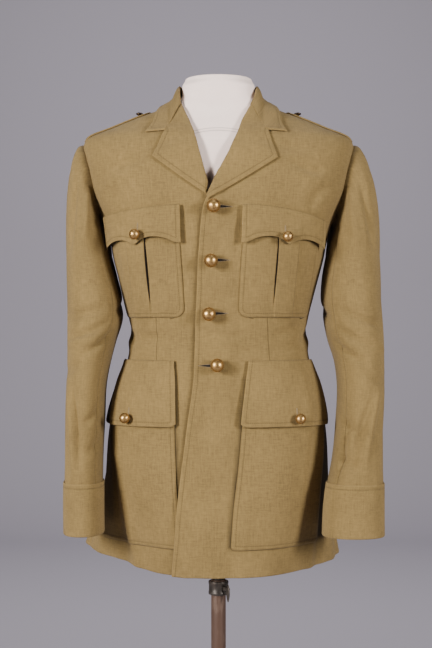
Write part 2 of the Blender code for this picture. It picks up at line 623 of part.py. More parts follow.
def body_depth(points):
    """How far points lie outside the garment's surface, near enough, along the surface's normal."""
    height = points[..., 2]
    at = {name: column(BODY, BODY_COLUMNS, name, height / MM)
          for name in ("half_width", "front", "back", "square")}
    depth = np.where(points[..., 1] < 0, at["front"], at["back"]) * MM
    power = at["square"]
    scale = (np.abs(points[..., 0] / (at["half_width"] * MM))**power
             + np.abs(points[..., 1] / depth)**power)
    scale = scale**(1 / power)
    reach = np.linalg.norm(points[..., :2], axis=-1)
    angle = np.arctan2(points[..., 0] / (at["half_width"] * MM), -points[..., 1] / depth)
    normal = outward(angle, height)
    return (1 - 1 / scale) * reach * np.linalg.norm(normal[..., :2], axis=-1), normal


def collar_half(side):
    """Half the collar, from the centre back to one end: rows from the stand's foot to the edge."""
    sign = SIDES[side]
    places = np.linspace(0, 1, COLLAR_STEPS + 1)
    spot = {}
    for part in ("roll", "mid", "edge"):
        spot[part] = np.stack([column(COLLAR, COLLAR_COLUMNS, part + axis, places) * MM
                               for axis in ("_x", "_y", "_z")], axis=1)
        spot[part][0, 0] = 0
        spot[part][:, 0] = spot[part][:, 0] * sign + COLLAR_SHIFT * places
    neck = {name: column(BODY, BODY_COLUMNS, name, NECKLINE / MM) * MM for name in ("half_width", "back")}
    turns = np.arctan2(spot["roll"][:, 0] / neck["half_width"], -spot["roll"][:, 1] / neck["back"])
    turns[0] = math.pi * sign
    level = np.full(turns.shape, NECKLINE)
    flat = outward(turns, level) * np.array([1, 1, 0])
    flat /= np.linalg.norm(flat, axis=1, keepdims=True)
    spot["foot"] = garment(turns, level) - flat * COLLAR_WALL + np.array([0, 0, 2.5 * SEAM])
    away = spot["mid"] - spot["roll"]
    away[:, 2] = 0
    away /= np.linalg.norm(away, axis=1, keepdims=True)
    up = np.array([0, 0, 1.0])
    rows = [spot["foot"]]
    for turn in np.radians((0, 60, 120)):
        rows.append(spot["roll"] + away * COLLAR_FOLD * (1 - math.cos(turn))
                    + up * COLLAR_FOLD * (math.sin(turn) - 1))
    start = rows[-1] - up * COLLAR_FOLD * 0.4
    for t in np.linspace(0, 1, COLLAR_FALL // 2 + 1)[1:]:
        crown = (away + up) * COLLAR_CROWN * math.sin(math.pi * t)
        rows.append(start + (spot["mid"] - start) * t + crown)
    for t in np.linspace(0, 1, COLLAR_FALL // 2 + 1)[1:]:
        rows.append(spot["mid"] + (spot["edge"] - spot["mid"]) * t)
    half = np.array(rows)
    for _ in range(4):
        depth, normal = body_depth(half[4:])
        half[4:] += normal * np.maximum(0, COLLAR_WALL + COLLAR_GAP - depth)[..., None]
    half[:, 0, 0] = 0
    return half


def collar():
    """The collar: one sheet from the foot of the stand over the roll and down the fall."""
    right, left = collar_half("right"), collar_half("left")
    grid = np.concatenate([right[:, :0:-1], left], axis=1)
    normal = np.cross(np.gradient(grid, axis=1), np.gradient(grid, axis=0))
    normal /= np.linalg.norm(normal, axis=-1, keepdims=True)
    if normal[-1, COLLAR_STEPS, 1] < 0:
        normal = -normal
    normal[0, :, 2] = 0
    normal[0] /= np.linalg.norm(normal[0], axis=-1, keepdims=True)
    cloth("collar", grid, grid - normal * COLLAR_WALL)


def pocket_arcs(side, heights):
    """The arcs of the pocket's columns at some heights, as the front under it has them."""
    sign = SIDES[side]
    start, end = line("pocket_front", heights), line("pocket_rear", heights)
    arcs = [line("centre", heights) + sign * (start + (end - start) * place) for place in POCKET_COLUMNS]
    return np.stack(arcs, axis=-1)


def pocket(name, side, span, lift):
    """A patch pocket: the front's own points between two heights, moved out."""
    rows = panel_heights()
    rows = rows[(rows > span[0] * MM - 1e-6) & (rows < span[1] * MM + 1e-6)]
    rows = np.unique(np.append(rows, span[1] * MM))
    arcs = pocket_arcs(side, rows)
    levels = np.broadcast_to(rows[:, None], arcs.shape)
    base = (overlap_lift(arcs, levels) if side == "left" else 0) + POCKET_GAP
    up = ((levels - span[0] * MM) / ((span[1] - span[0]) * MM))
    across = np.broadcast_to(np.array(POCKET_COLUMNS), arcs.shape)
    extra = lift(across, up)
    outer, inner = on_body(arcs, levels, base + extra + WOOL), on_body(arcs, levels, base + extra)
    return cloth(name + side, outer, inner)


def pleat_lift(across, up):
    """The box pleat's rise, between its folds."""
    inside = (across >= POCKET_COLUMNS[PLEAT[0]]) & (across <= POCKET_COLUMNS[PLEAT[1]])
    return np.where(inside, PLEAT_RISE, 0)


def swell_lift(across, up):
    """How the lower pocket stands off the skirt, fullest at its middle and flat round its edges."""
    swell = np.sin(math.pi * across**0.8)**1.2 * np.sin(math.pi * np.clip(up, 0, 1)**0.8) ** 0.8
    return POCKET_SWELL * np.nan_to_num(swell)


def pocket_top(across, up, lower):
    """The lift of the pocket under a flap."""
    return swell_lift(across, up) if lower else pleat_lift(across, up)


def flap(name, side, top, drops, span, lower):
    """A pocket flap: from its seam down to a shaped lower edge, standing off the pocket."""
    across = np.array(POCKET_COLUMNS)
    drop = np.interp(across, [d[0] for d in drops], [d[1] for d in drops]) * MM
    down = np.linspace(0, 1, 5)
    levels = top * MM - down[:, None] * drop
    levels = levels[::-1]
    arcs = np.stack([np.diag(pocket_arcs(side, levels[r])) for r in range(len(levels))])
    sign = SIDES[side]
    arcs[:, 0] -= sign * FLAP_OVERHANG
    arcs[:, -1] += sign * FLAP_OVERHANG
    up = np.clip((levels - span[0] * MM) / ((span[1] - span[0]) * MM), 0, 1)
    wide = np.broadcast_to(across, arcs.shape)
    stand = FLAP_STAND[0] + (FLAP_STAND[1] - FLAP_STAND[0]) * ease(down[::-1])[:, None]
    base = (overlap_lift(arcs, levels) if side == "left" else 0) + POCKET_GAP + WOOL
    under = np.maximum(pocket_top(wide, up, lower), PLEAT_RISE if not lower else 0)
    lift = base + under + stand
    return cloth(name + side, on_body(arcs, levels, lift + WOOL), on_body(arcs, levels, lift))


def pockets_and_flaps():
    """Chest pockets with a box pleat, lower pockets that swell, and a flap over each."""
    for side in SIDES:
        pocket("chest_pocket_", side, CHEST_POCKET, pleat_lift)
        pocket("lower_pocket_", side, LOWER_POCKET, swell_lift)
        flap("chest_flap_", side, CHEST_FLAP_TOP, CHEST_FLAP_DROPS, CHEST_POCKET, False)
        flap("lower_flap_", side, LOWER_FLAP_TOP, ((0, LOWER_FLAP_DROP), (1, LOWER_FLAP_DROP)),
             LOWER_POCKET, True)


def straps():
    """The shoulder straps, along the shoulder seam from the sleeve to the collar."""
    for side, sign in SIDES.items():
        heights = np.array([row[0] for row in STRAP_ROWS]) * MM
        half = np.array([row[1] for row in STRAP_ROWS]) * MM
        seam = np.array([angle_to_arc(sign * math.radians(STRAP_ANGLE), z) for z in heights])
        arcs = seam[:, None] + half[:, None] * np.linspace(-1, 1, 5)
        levels = np.broadcast_to(heights[:, None], arcs.shape)
        outer = on_body(arcs, levels, STRAP_GAP + STRAP_WOOL)
        cloth("strap_" + side, outer, on_body(arcs, levels, STRAP_GAP))


def turned(name, profile, finish, segments, origin=(0, 0, 0), axis=(0, 0, 1), tube=False):
    """A turned piece: a profile of (radius, height) rows about an axis, closed at its poles."""
    turn = Vector((0, 0, 1)).rotation_difference(Vector(axis)).to_matrix()
    vertices, rings = [], []
    for radius, height in profile:
        if radius == 0:
            rings.append([len(vertices)])
            vertices.append((0, 0, height))
            continue
        ring = []
        for k in range(segments):
            angle = 2 * math.pi * k / segments
            ring.append(len(vertices))
            vertices.append((radius * math.cos(angle), radius * math.sin(angle), height))
        rings.append(ring)
    faces = []
    pairs = list(zip(rings, rings[1:] + rings[:1])) if tube else list(zip(rings, rings[1:]))
    for low, high in pairs:
        for k in range(segments):
            m = (k + 1) % segments
            if len(low) == 1:
                faces.append((low[0], high[m], high[k]))
            elif len(high) == 1:
                faces.append((low[k], low[m], high[0]))
            else:
                faces.append((low[k], low[m], high[m], high[k]))
    placed = [Vector(origin) + turn @ Vector(v) for v in vertices]
    return new_object(name, placed, faces, finish)


def ball_button(name, arc, height, lift, size, finish, segments=SMALL_SEGMENTS, flatness=1.0):
    """A ball or domed button on its shank, standing on the cloth at a place of the surface."""
    place = on_body(arc, height, lift + SEAM)
    axis = outward(arc_to_angle(arc, height), height)
    radius = size / 2
    neck = SHANK_LENGTH
    start = math.asin(SHANK_RADIUS / radius)
    profile = [(0, 0), (SHANK_RADIUS, 0), (SHANK_RADIUS, neck)]
    for step in range(1, BALL_STEPS):
        turn = start + (math.pi - start) * step / BALL_STEPS
        rise = flatness * radius * (math.cos(start) - math.cos(turn))
        profile.append((radius * math.sin(turn), neck + rise))
    profile.append((0, neck + flatness * radius * (math.cos(start) + 1)))
    turned(name, profile, finish, segments, origin=place, axis=axis)


def buttons():
    """Four down the front, one on each pocket flap and one on each shoulder strap."""
    for number, (place, height) in enumerate(FRONT_BUTTONS, 1):
        level = height * MM
        arc = float(line("centre", level)) + place * MM
        lift = float(overlap_lift(arc, level))
        ball_button("front_button_%d" % number, arc, level, lift, FRONT_BALL, "brass", FRONT_SEGMENTS)
    for side in SIDES:
        for name, height, place, top, span, drop, lower in (
                ("chest_button_", CHEST_BUTTON_HEIGHTS[side], CHEST_BUTTON_PLACE, CHEST_FLAP_TOP,
                 CHEST_POCKET, CHEST_FLAP_MIDDLE, False),
                ("lower_button_", LOWER_BUTTON_HEIGHT, LOWER_BUTTON_PLACES[side], LOWER_FLAP_TOP,
                 LOWER_POCKET, LOWER_FLAP_DROP, True)):
            level = height * MM
            start, end = line("pocket_front", level), line("pocket_rear", level)
            arc = float(line("centre", level) + SIDES[side] * (start + (end - start) * place))
            up = (height - span[0]) / (span[1] - span[0])
            under = float(swell_lift(np.array(place), np.array(up))) if lower else PLEAT_RISE
            base = float(overlap_lift(arc, level)) if side == "left" else 0
            stand = FLAP_STAND[0] + (FLAP_STAND[1] - FLAP_STAND[0]) * float(ease((top - height) / drop))
            lift = base + POCKET_GAP + 2 * WOOL + under + stand
            ball_button(name + side, arc, level, lift - BUTTON_SINK[name], POCKET_BALL, "brass")
        level = STRAP_BUTTON_HEIGHT * MM
        arc = angle_to_arc(SIDES[side] * math.radians(STRAP_ANGLE), level)
        ball_button("strap_button_" + side, arc, level, STRAP_GAP + STRAP_WOOL, STRAP_BALL, "dark_brass",
                    flatness=STRAP_BUTTON_FLATNESS)


def form():
    """The dress form: hips, waist, chest and shoulders, a neck with a flat top, and a flat bottom."""
    angles = np.arange(FORM_POINTS) * 2 * math.pi / FORM_POINTS
    rings = []
    for row in FORM_ROWS:
        height = row * MM
        known = min(row, FORM[-1][0])
        own = {name: float(column(FORM, FORM_COLUMNS, name, known)) for name in FORM_COLUMNS[1:]}
        level = np.full(FORM_POINTS, height)
        inner = ring_point(angles, level, own["half_width"] * MM, own["front"] * MM, own["back"] * MM,
                           own["square"], 0, 0)
        edge = FORM_EDGE_INSET * (1 - ease((row - EDGE_ROWS[0]) / (EDGE_ROWS[1] - EDGE_ROWS[0])))
        cover = garment(angles, level) - outward(angles, level) * (FORM_INSET + edge)
        share = float(ease((row - FORM_SHARE[0]) / (FORM_SHARE[1] - FORM_SHARE[0])))
        rings.append(inner * (1 - share) + cover * share)
    for row, half_width, depth in NECK_ROWS:
        level = np.full(FORM_POINTS, row * MM)
        ring = ring_point(angles, level, half_width * MM, depth * MM, depth * MM, NECK_POWER, 0, 0)
        rings.append(ring + np.array([0, NECK_SHIFT * MM, 0]))
    vertices = np.concatenate(rings)
    faces = grid_faces(len(rings), FORM_POINTS, True, 0, False)
    bottom, top = len(vertices), len(vertices) + 1
    last = (len(rings) - 1) * FORM_POINTS
    poles = [[0, 0, FORM_ROWS[0] * MM], [0, NECK_SHIFT * MM, NECK_TOP * MM]]
    vertices = np.concatenate([vertices, poles])
    for k in range(FORM_POINTS):
        m = (k + 1) % FORM_POINTS
        faces.append((k, bottom, m))
        faces.append((last + k, last + m, top))
    new_object("form", vertices, faces, "calico")


def cutter(name, radius, length, origin, axis):
    """A hidden cylinder that cuts a hole."""
    profile = [(0, 0), (radius, 0), (radius, length), (0, length)]
    made = turned(name, profile, "dark_steel", 16, origin, axis)
    made.hide_render = True
    made.display_type = "WIRE"
    return made


def stand():
    """The base, the tube, the clamp with its thumb screw, the rod, and the plate under the form."""
    turned("base", [(0, 0), (BASE_RADIUS - 2 * MM, 0), (BASE_RADIUS, 2 * MM),
                    (BASE_RADIUS, BASE_THICK - 3 * MM), (BASE_RADIUS - 6 * MM, BASE_THICK),
                    (HUB_RADIUS, BASE_THICK + 3 * MM),
                    (HUB_RADIUS - 3 * MM, HUB_TOP),
                    (TUBE_RADIUS + SEAM, HUB_TOP), (TUBE_RADIUS + SEAM, BASE_THICK), (0, BASE_THICK)],
           "black_paint", 36)
    turned("pole", [(TUBE_RADIUS, BASE_THICK + SEAM), (TUBE_RADIUS, TUBE_TOP), (TUBE_BORE, TUBE_TOP),
                    (TUBE_BORE, BASE_THICK + SEAM)], "brown_paint", 24, tube=True)
    clamp = turned("clamp", [(CLAMP_RADIUS - 1 * MM, CLAMP_BOTTOM), (CLAMP_RADIUS, CLAMP_BOTTOM + 1.5 * MM),
                             (CLAMP_RADIUS, CLAMP_TOP - 1.5 * MM), (CLAMP_RADIUS - 1 * MM, CLAMP_TOP),
                             (TUBE_RADIUS + SEAM, CLAMP_TOP), (TUBE_RADIUS + SEAM, CLAMP_BOTTOM)],
                   "dark_steel", 24, tube=True)
    angle = math.radians(SCREW_ANGLE)
    axis = Vector((math.sin(angle), -math.cos(angle), 0))
    centre = Vector((0, 0, (CLAMP_BOTTOM + CLAMP_TOP) / 2))
    hole = cutter("screw_hole", SCREW_HOLE, CLAMP_RADIUS, centre + axis * (TUBE_RADIUS - 2 * MM), axis)
    cut = clamp.modifiers.new("hole", "BOOLEAN")
    cut.operation = "DIFFERENCE"
    cut.object = hole
    start = TUBE_RADIUS + 2 * SEAM
    screw = turned("thumb_screw", [(0, start), (SCREW_RADIUS, start), (SCREW_RADIUS, CLAMP_RADIUS + 2 * SEAM),
                                   (5 * MM, CLAMP_RADIUS + 2 * SEAM), (5 * MM, CLAMP_RADIUS + 4 * MM),
                                   (3.4 * MM, SCREW_REACH), (0, SCREW_REACH)],
                   "dark_steel", 16, (0, 0, 0), axis)
    screw.location = centre
    wing_centre = centre + axis * (SCREW_REACH - 1 * MM) - Vector((0, 0, 6 * MM))
    bpy.ops.mesh.primitive_cube_add(size=1, location=wing_centre, rotation=(0, 0, angle - math.pi / 2))
    wing = bpy.context.object
    wing.name = "wing_shape"
    wing.scale = WING_SIZE[1], WING_SIZE[0], WING_SIZE[2]
    wing.hide_render = True
    wing.display_type = "WIRE"
    join = screw.modifiers.new("wing", "BOOLEAN")
    join.operation = "UNION"
    join.object = wing
    turned("rod", [(0, ROD_BOTTOM), (ROD_RADIUS - 1 * MM, ROD_BOTTOM), (ROD_RADIUS, ROD_BOTTOM + 2 * MM),
                   (ROD_RADIUS, ROD_TOP), (0, ROD_TOP)], "dark_steel", 24)
    plate_top = FORM_ROWS[0] * MM - SEAM
    turned("form_plate", [(0, ROD_TOP + SEAM), (TUBE_BORE, ROD_TOP + SEAM), (TUBE_BORE, SOCKET_BOTTOM),
                          (SOCKET_RADIUS, SOCKET_BOTTOM), (SOCKET_RADIUS, PLATE_BOTTOM),
                          (PLATE_RADIUS, PLATE_BOTTOM), (PLATE_RADIUS, plate_top), (0, plate_top)],
           "dark_steel", 24)


fronts()
backs()
sleeves()
lapels()
collar()
pockets_and_flaps()
straps()
buttons()
form()
stand()
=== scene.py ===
"""A khaki wool service jacket on a dress form: the look of the part, in the solids' own frame.

Metres, +Z up, the front faces -Y and the wearer's left is at +X. A place on the jacket's body is
given by its arc, the distance round the level ring from the middle of the front, and its height.
"""
import json
import math

import bpy
import numpy as np
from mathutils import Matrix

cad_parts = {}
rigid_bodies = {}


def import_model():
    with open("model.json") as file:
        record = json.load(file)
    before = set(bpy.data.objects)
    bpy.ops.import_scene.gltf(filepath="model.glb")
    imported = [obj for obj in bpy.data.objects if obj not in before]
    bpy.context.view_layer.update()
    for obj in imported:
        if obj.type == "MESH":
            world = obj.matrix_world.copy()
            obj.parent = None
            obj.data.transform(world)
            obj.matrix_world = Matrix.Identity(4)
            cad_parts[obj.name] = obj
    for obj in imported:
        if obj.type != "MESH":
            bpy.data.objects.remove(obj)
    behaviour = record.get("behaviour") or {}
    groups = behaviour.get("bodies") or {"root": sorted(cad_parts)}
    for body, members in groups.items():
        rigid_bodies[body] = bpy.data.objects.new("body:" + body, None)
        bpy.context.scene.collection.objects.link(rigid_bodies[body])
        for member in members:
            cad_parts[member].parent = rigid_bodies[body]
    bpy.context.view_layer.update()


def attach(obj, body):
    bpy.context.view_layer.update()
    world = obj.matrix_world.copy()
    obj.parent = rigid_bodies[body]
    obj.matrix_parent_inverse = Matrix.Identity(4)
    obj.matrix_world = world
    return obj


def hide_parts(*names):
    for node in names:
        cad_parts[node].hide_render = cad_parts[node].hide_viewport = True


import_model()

MM = 0.001
SIDES = {"left": 1, "right": -1}

# The stand: a weighted round base, a brown painted tube, a dark clamp ring with a thumb screw, and
# the rod that slides in the tube and carries the form's plate. Turned and welded steel.


class Sum:
    """A shader value that adds Math nodes when it is used in an expression."""

    def __init__(self, tree, socket):
        self.tree, self.socket = tree, socket

    def maths(self, operation, *values, clamp=False):
        node = self.tree.nodes.new("ShaderNodeMath")
        node.operation, node.use_clamp = operation, clamp
        for socket, value in zip(node.inputs, values):
            if isinstance(value, Sum):
                self.tree.links.new(value.socket, socket)
            else:
                socket.default_value = value
        return Sum(self.tree, node.outputs[0])

    def __add__(self, other):
        return self.maths("ADD", self, other)

    def __sub__(self, other):
        return self.maths("SUBTRACT", self, other)

    def __rsub__(self, other):
        return self.maths("SUBTRACT", other, self)

    def __mul__(self, other):
        return self.maths("MULTIPLY", self, other)

    def __truediv__(self, other):
        return self.maths("DIVIDE", self, other)

    def __abs__(self):
        return self.maths("ABSOLUTE", self)

    __radd__, __rmul__ = __add__, __mul__

    def sine(self):
        return self.maths("SINE", self)

    def below(self, level, soft):
        """1 where the value is under a level and 0 past it, over a soft step."""
        return self.maths("ADD", (level - self) / soft, 0.5, clamp=True)

    def bell(self, width):
        """exp(-(x / width)^2)."""
        square = self * self * (-1 / width**2)
        return self.maths("POWER", math.e, square)


class Finish:
    """A material under way: its node tree and its Principled shader."""

    def __init__(self, name, colour, roughness, metallic=0.0, **constants):
        self.made = bpy.data.materials.new(name)
        self.made.use_nodes = True
        self.tree = self.made.node_tree
        self.shader = self.tree.nodes["Principled BSDF"]
        self.colour = colour
        self.shader.inputs["Base Color"].default_value = (*colour, 1)
        self.shader.inputs["Roughness"].default_value = roughness
        self.shader.inputs["Metallic"].default_value = metallic
        for socket, value in constants.items():
            self.shader.inputs[socket.replace("_", " ")].default_value = value

    def node(self, kind, settings=None, out=0, **inputs):
        """Any node: its settings first, then its sockets' values or links."""
        made = self.tree.nodes.new(kind)
        for key, value in (settings or {}).items():
            setattr(made, key, value)
        for key, value in inputs.items():
            socket = made.inputs[int(key[1:])] if key[0] == "s" and key[1:].isdigit() else made.inputs[key]
            if isinstance(value, Sum):
                self.tree.links.new(value.socket, socket)
            else:
                socket.default_value = value
        return Sum(self.tree, made.outputs[out])

    def place(self, scale, uv=False):
        """Object or UV coordinates, scaled along each axis."""
        start = self.node("ShaderNodeTexCoord", out="UV" if uv else "Object")
        return self.node("ShaderNodeMapping", Vector=start, Scale=scale)

    def noise(self, scale, detail=3.0, uv=False, rough=0.5):
        return self.node("ShaderNodeTexNoise", Vector=self.place(scale, uv), Scale=1.0, Detail=detail, Roughness=rough)

    def attribute(self, name):
        return self.node("ShaderNodeAttribute", {"attribute_name": name}, out="Fac")

    def tint(self, base, colour, amount):
        """One colour laid over another by an amount."""
        return self.node("ShaderNodeMix", {"data_type": "RGBA"}, out=2, s0=amount, s6=base, s7=colour)

    def paint(self, colour=None, rough=None, height=None, depth=0.0002, strength=1.0):
        if colour is not None:
            self.tree.links.new(colour.socket, self.shader.inputs["Base Color"])
        if rough is not None:
            self.tree.links.new(rough.socket, self.shader.inputs["Roughness"])
        if height is not None:
            bump = self.node("ShaderNodeBump", Height=height, Distance=depth, Strength=strength)
            self.tree.links.new(bump.socket, self.shader.inputs["Normal"])
        return self.made


def worn_metal(name, colour, worn, roughness, metallic, streak):
    """Painted or bare metal: dull patches, fine scratches along Z, and paint worn thin in places."""
    finish = Finish(name, colour, roughness, metallic)
    patches = finish.noise((22, 22, 22), 4)
    lines = finish.noise((420, 420, streak), 3)
    wear = (patches - 0.52) * 3.2 + (lines - 0.5) * 1.6
    amount = wear.maths("ADD", wear, 0.08, clamp=True)
    return finish.paint(finish.tint((*colour, 1), (*worn, 1), amount * 0.75),
                        (patches - 0.5) * 0.3 + (lines - 0.5) * 0.15 + roughness, lines + patches * 0.4, 0.0001, 0.5)


BROWN_PAINT = worn_metal("worn_brown_paint", (0.085, 0.048, 0.033), (0.19, 0.13, 0.095), 0.42, 0.25, 30)
DARK_STEEL = worn_metal("dark_steel", (0.045, 0.038, 0.033), (0.15, 0.12, 0.095), 0.45, 0.5, 40)
BLACK_PAINT = worn_metal("black_paint", (0.018, 0.018, 0.019), (0.05, 0.05, 0.05), 0.45, 0.1, 200)


def faces(rows, columns, join_rows=False, join_columns=False):
    """Four-cornered faces over a grid of points, joined to its first row or column where it closes."""
    index = np.pad(np.arange(rows * columns).reshape(rows, columns), ((0, join_rows), (0, join_columns)), "wrap")
    return np.stack([index[:-1, :-1], index[:-1, 1:], index[1:, 1:], index[1:, :-1]], axis=-1).reshape(-1, 4).tolist()


def ends(rows, columns):
    """The two flat ends of a stack of rings."""
    last = (rows - 1) * columns
    return [list(range(columns))[::-1], list(range(last, last + columns))]


def mesh_object(name, points, quads, finish, body, slot, smooth_angle=40, replaces=True):
    """A mesh from points and faces, riding on its body in place of the solid of the same name."""
    mesh = bpy.data.meshes.new(name)
    mesh.from_pydata(np.asarray(points).reshape(-1, 3).tolist(), [], quads)
    mesh.update()
    mesh.shade_smooth()
    mesh.set_sharp_from_angle(angle=math.radians(smooth_angle))
    made = bpy.data.objects.new(name + "_look", mesh)
    bpy.context.scene.collection.objects.link(made)
    mesh.materials.append(finish)
    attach(made, body)
    if replaces:
        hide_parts(name)


def lathe(profile, segments, origin=(0, 0, 0), axis=(0, 0, 1), tube=False):
    """(radius, height) rows in mm turned about an axis: r cos t, r sin t, h, on two vectors across it.

    Its ends are shut, or joined round where it is a tube.
    """
    radius, height = np.array(profile, float).T * MM
    turn = np.arange(segments) * 2 * np.pi / segments
    axis = np.array(axis, float) / np.linalg.norm(axis)
    side = np.cross(axis, (0, 0, 1)) if abs(axis[2]) < 0.9 else np.array([1.0, 0, 0])
    side /= np.linalg.norm(side)
    other = np.cross(axis, side)
    around = np.cos(turn)[None, :, None] * side + np.sin(turn)[None, :, None] * other
    points = np.array(origin) + radius[:, None, None] * around + height[:, None, None] * axis
    shut = [] if tube else ends(len(radius), segments)
    return points, faces(len(radius), segments, tube, True) + shut


def turned_piece(node, profile, segments, finish, body, slot, tube=False):
    """A piece turned about the stand's own axis."""
    mesh_object(node, *lathe(profile, segments, tube=tube), finish, body, slot)


turned_piece("base", [(172, 0), (174.4, 0.8), (175, 2.4), (175, 5), (174, 6.6), (171, 7.7), (120, 9), (60, 10.2),
                      (30, 11.2), (25.5, 12.6), (24, 16), (22.6, 38), (22, 44), (21, 45.6), (19, 46), (12.9, 46),
                      (12.9, 12)], 96, BLACK_PAINT, "stand", "black_paint")
turned_piece("pole", [(12.2, 8.4), (12.5, 8.8), (12.5, 713.2), (11.8, 714), (10.6, 714), (10, 713.2), (10, 8.4)],
             48, BROWN_PAINT, "stand", "brown_paint", tube=True)
turned_piece("clamp", [(15.6, 689), (16.6, 689.4), (17, 690.6), (17, 694), (16.4, 694.8), (16.4, 706.2), (17, 707),
                       (17, 710.4), (16.6, 711.6), (15.6, 712), (12.8, 712), (12.8, 689)],
             64, DARK_STEEL, "stand", "dark_steel", tube=True)
turned_piece("rod", [(8.4, 440), (9.3, 440.6), (9.7, 442), (9.7, 790)], 40, DARK_STEEL, "rod", "dark_steel")
turned_piece("form_plate", [(10, 760), (14.4, 760), (15, 760.8), (15, 788), (15.8, 791), (18, 792.8), (44, 793),
                            (45, 794), (45, 798.8), (44, 799.7), (10, 799.7), (10, 790.3)],
             48, DARK_STEEL, "figure", "dark_steel", tube=True)

SCREW_TURN = math.radians(38)
SCREW_AXIS = np.array([math.sin(SCREW_TURN), -math.cos(SCREW_TURN), 0])
screw_points, screw_quads = lathe([(2.6, 13.1), (2.6, 17.6), (5, 17.6), (5, 21), (3.6, 22.5), (3.4, 27)], 24,
                                  (0, 0, 0.7005), SCREW_AXIS)
wing_turn, wing_around = np.meshgrid(np.linspace(0, 2 * np.pi, 41)[:-1], np.linspace(0, np.pi, 13))
wing_reach = np.sin(wing_around)
wing_long = 13.2 * (1 - 0.16 * np.cos(2 * wing_turn)) * wing_reach
wing_sheet = np.stack([1.6 * np.cos(wing_around), 4.6 * wing_reach * np.cos(wing_turn), wing_long * np.sin(wing_turn)],
                      axis=-1) * MM
WING_SIDE = np.cross(SCREW_AXIS, (0, 0, 1))
wing_points = (np.array([0, 0, 0.6945]) + SCREW_AXIS * 26 * MM + wing_sheet[..., :1] * WING_SIDE
               + wing_sheet[..., 1:2] * SCREW_AXIS + wing_sheet[..., 2:] * np.array([0, 0, 1]))
count = screw_points.size // 3
wing_quads = [[a + count, d + count, c + count, b + count] for a, b, c, d in faces(*wing_turn.shape, False, True)]
mesh_object("thumb_screw", np.concatenate([screw_points.reshape(-1, 3), wing_points.reshape(-1, 3)]),
            screw_quads + wing_quads, DARK_STEEL, "screw", "dark_steel")

# The surface the jacket takes on the form: level rings, each a superellipse with its own depth
# before and behind, wider at the rear in the skirt. Every cloth piece of the body lies on it.


class Table:
    """Rows under named columns, read between the rows by the first column."""

    def __init__(self, columns, rows):
        self.columns, self.rows = columns.split(), np.array(rows, float)

    def read(self, name, at):
        """A column as cubic pieces, with each row's slope taken from its neighbours."""
        places, values = self.rows[:, 0], self.rows[:, self.columns.index(name)]
        slopes = np.gradient(values, places)
        at = np.clip(at, places[0], places[-1])
        row = np.clip(np.searchsorted(places, at, side="right") - 1, 0, len(places) - 2)
        span = places[row + 1] - places[row]
        t = (at - places[row]) / span
        return ((2 * t**3 - 3 * t**2 + 1) * values[row] + (t**3 - 2 * t**2 + t) * span * slopes[row]
                + (-2 * t**3 + 3 * t**2) * values[row + 1] + (t**3 - t**2) * span * slopes[row + 1])

    def at(self, height):
        """Every column at a height."""
        return {name: self.read(name, height) for name in self.columns[1:]}


BLOCK = Table("height half_width front back square spread_left spread_right swing", [
    (740, 184, 131, 155, 3.30, 0.45, 0.60, 3.0),
    (810, 183, 127, 143, 3.05, 0.33, 0.43, 2.4),
    (880, 182, 122, 130, 2.85, 0.20, 0.26, 1.8),
    (950, 181, 117, 118, 2.65, 0.08, 0.10, 1.0),
    (1000, 176, 113, 112, 2.50, 0.03, 0.04, 0.4),
    (1050, 165, 108, 105, 2.40, 0.01, 0.01, 0.0),
    (1085, 154, 105, 100, 2.35, 0.00, 0.00, 0.0),
    (1120, 149, 103, 97, 2.30, 0.00, 0.00, 0.0),
    (1153, 151, 105, 99, 2.30, 0.00, 0.00, 0.0),
    (1187, 159, 109, 103, 2.30, 0.00, 0.00, 0.0),
    (1221, 168, 114, 108, 2.32, 0.00, 0.00, 0.0),
    (1255, 177, 118, 112, 2.35, 0.00, 0.00, 0.0),
    (1290, 184, 120, 114, 2.40, 0.00, 0.00, 0.0),
    (1320, 194, 120, 115, 2.45, 0.00, 0.00, 0.0),
    (1360, 211, 118, 116, 2.50, 0.00, 0.00, 0.0),
    (1400, 221, 111, 115, 2.50, 0.00, 0.00, 0.0),
    (1430, 226, 102, 108, 2.45, 0.00, 0.00, 0.0),
    (1450, 227, 91, 98, 2.35, 0.00, 0.00, 0.0),
    (1458, 222, 86, 92, 2.30, 0.00, 0.00, 0.0),
    (1475, 183, 73, 80, 2.20, 0.00, 0.00, 0.0),
    (1492, 142, 63, 70, 2.15, 0.00, 0.00, 0.0),
    (1506, 105, 58, 64, 2.10, 0.00, 0.00, 0.0),
    (1520, 78, 56, 60, 2.05, 0.00, 0.00, 0.0)])


def signed(x, power):
    """sign(x) |x|^power."""
    return np.sign(x) * np.abs(x) ** power


def unit(vectors):
    return vectors / np.linalg.norm(vectors, axis=-1, keepdims=True)


def arch(x):
    """sin(pi x) from 0 to 1, and nothing outside."""
    return np.sin(np.pi * np.clip(x, 0, 1))


def ease(x):
    """3 x^2 - 2 x^3, between 0 and 1."""
    x = np.clip(x, 0, 1)
    return x * x * (3 - 2 * x)


def bell(x, width):
    """exp(-(x / width)^2)."""
    return np.exp(-((x / width) ** 2))


def block(turn, height):
    """w sign(sin t)|sin t|^(2/p) (1 + spread a) and depth a, with a = -sign(cos t)|cos t|^(2/p), then swung."""
    at = BLOCK.at(height / MM)
    cosine, sine = np.cos(turn), np.sin(turn)
    along = -signed(cosine, 2 / at["square"])
    spread = np.where(sine > 0, at["spread_left"], at["spread_right"])
    x = at["half_width"] * signed(sine, 2 / at["square"]) * (1 + spread * along) * MM
    y = np.where(cosine > 0, at["front"], at["back"]) * along * MM
    swing = np.radians(at["swing"])
    return np.stack([x * np.cos(swing) - y * np.sin(swing), x * np.sin(swing) + y * np.cos(swing), height + 0 * x],
                    axis=-1)


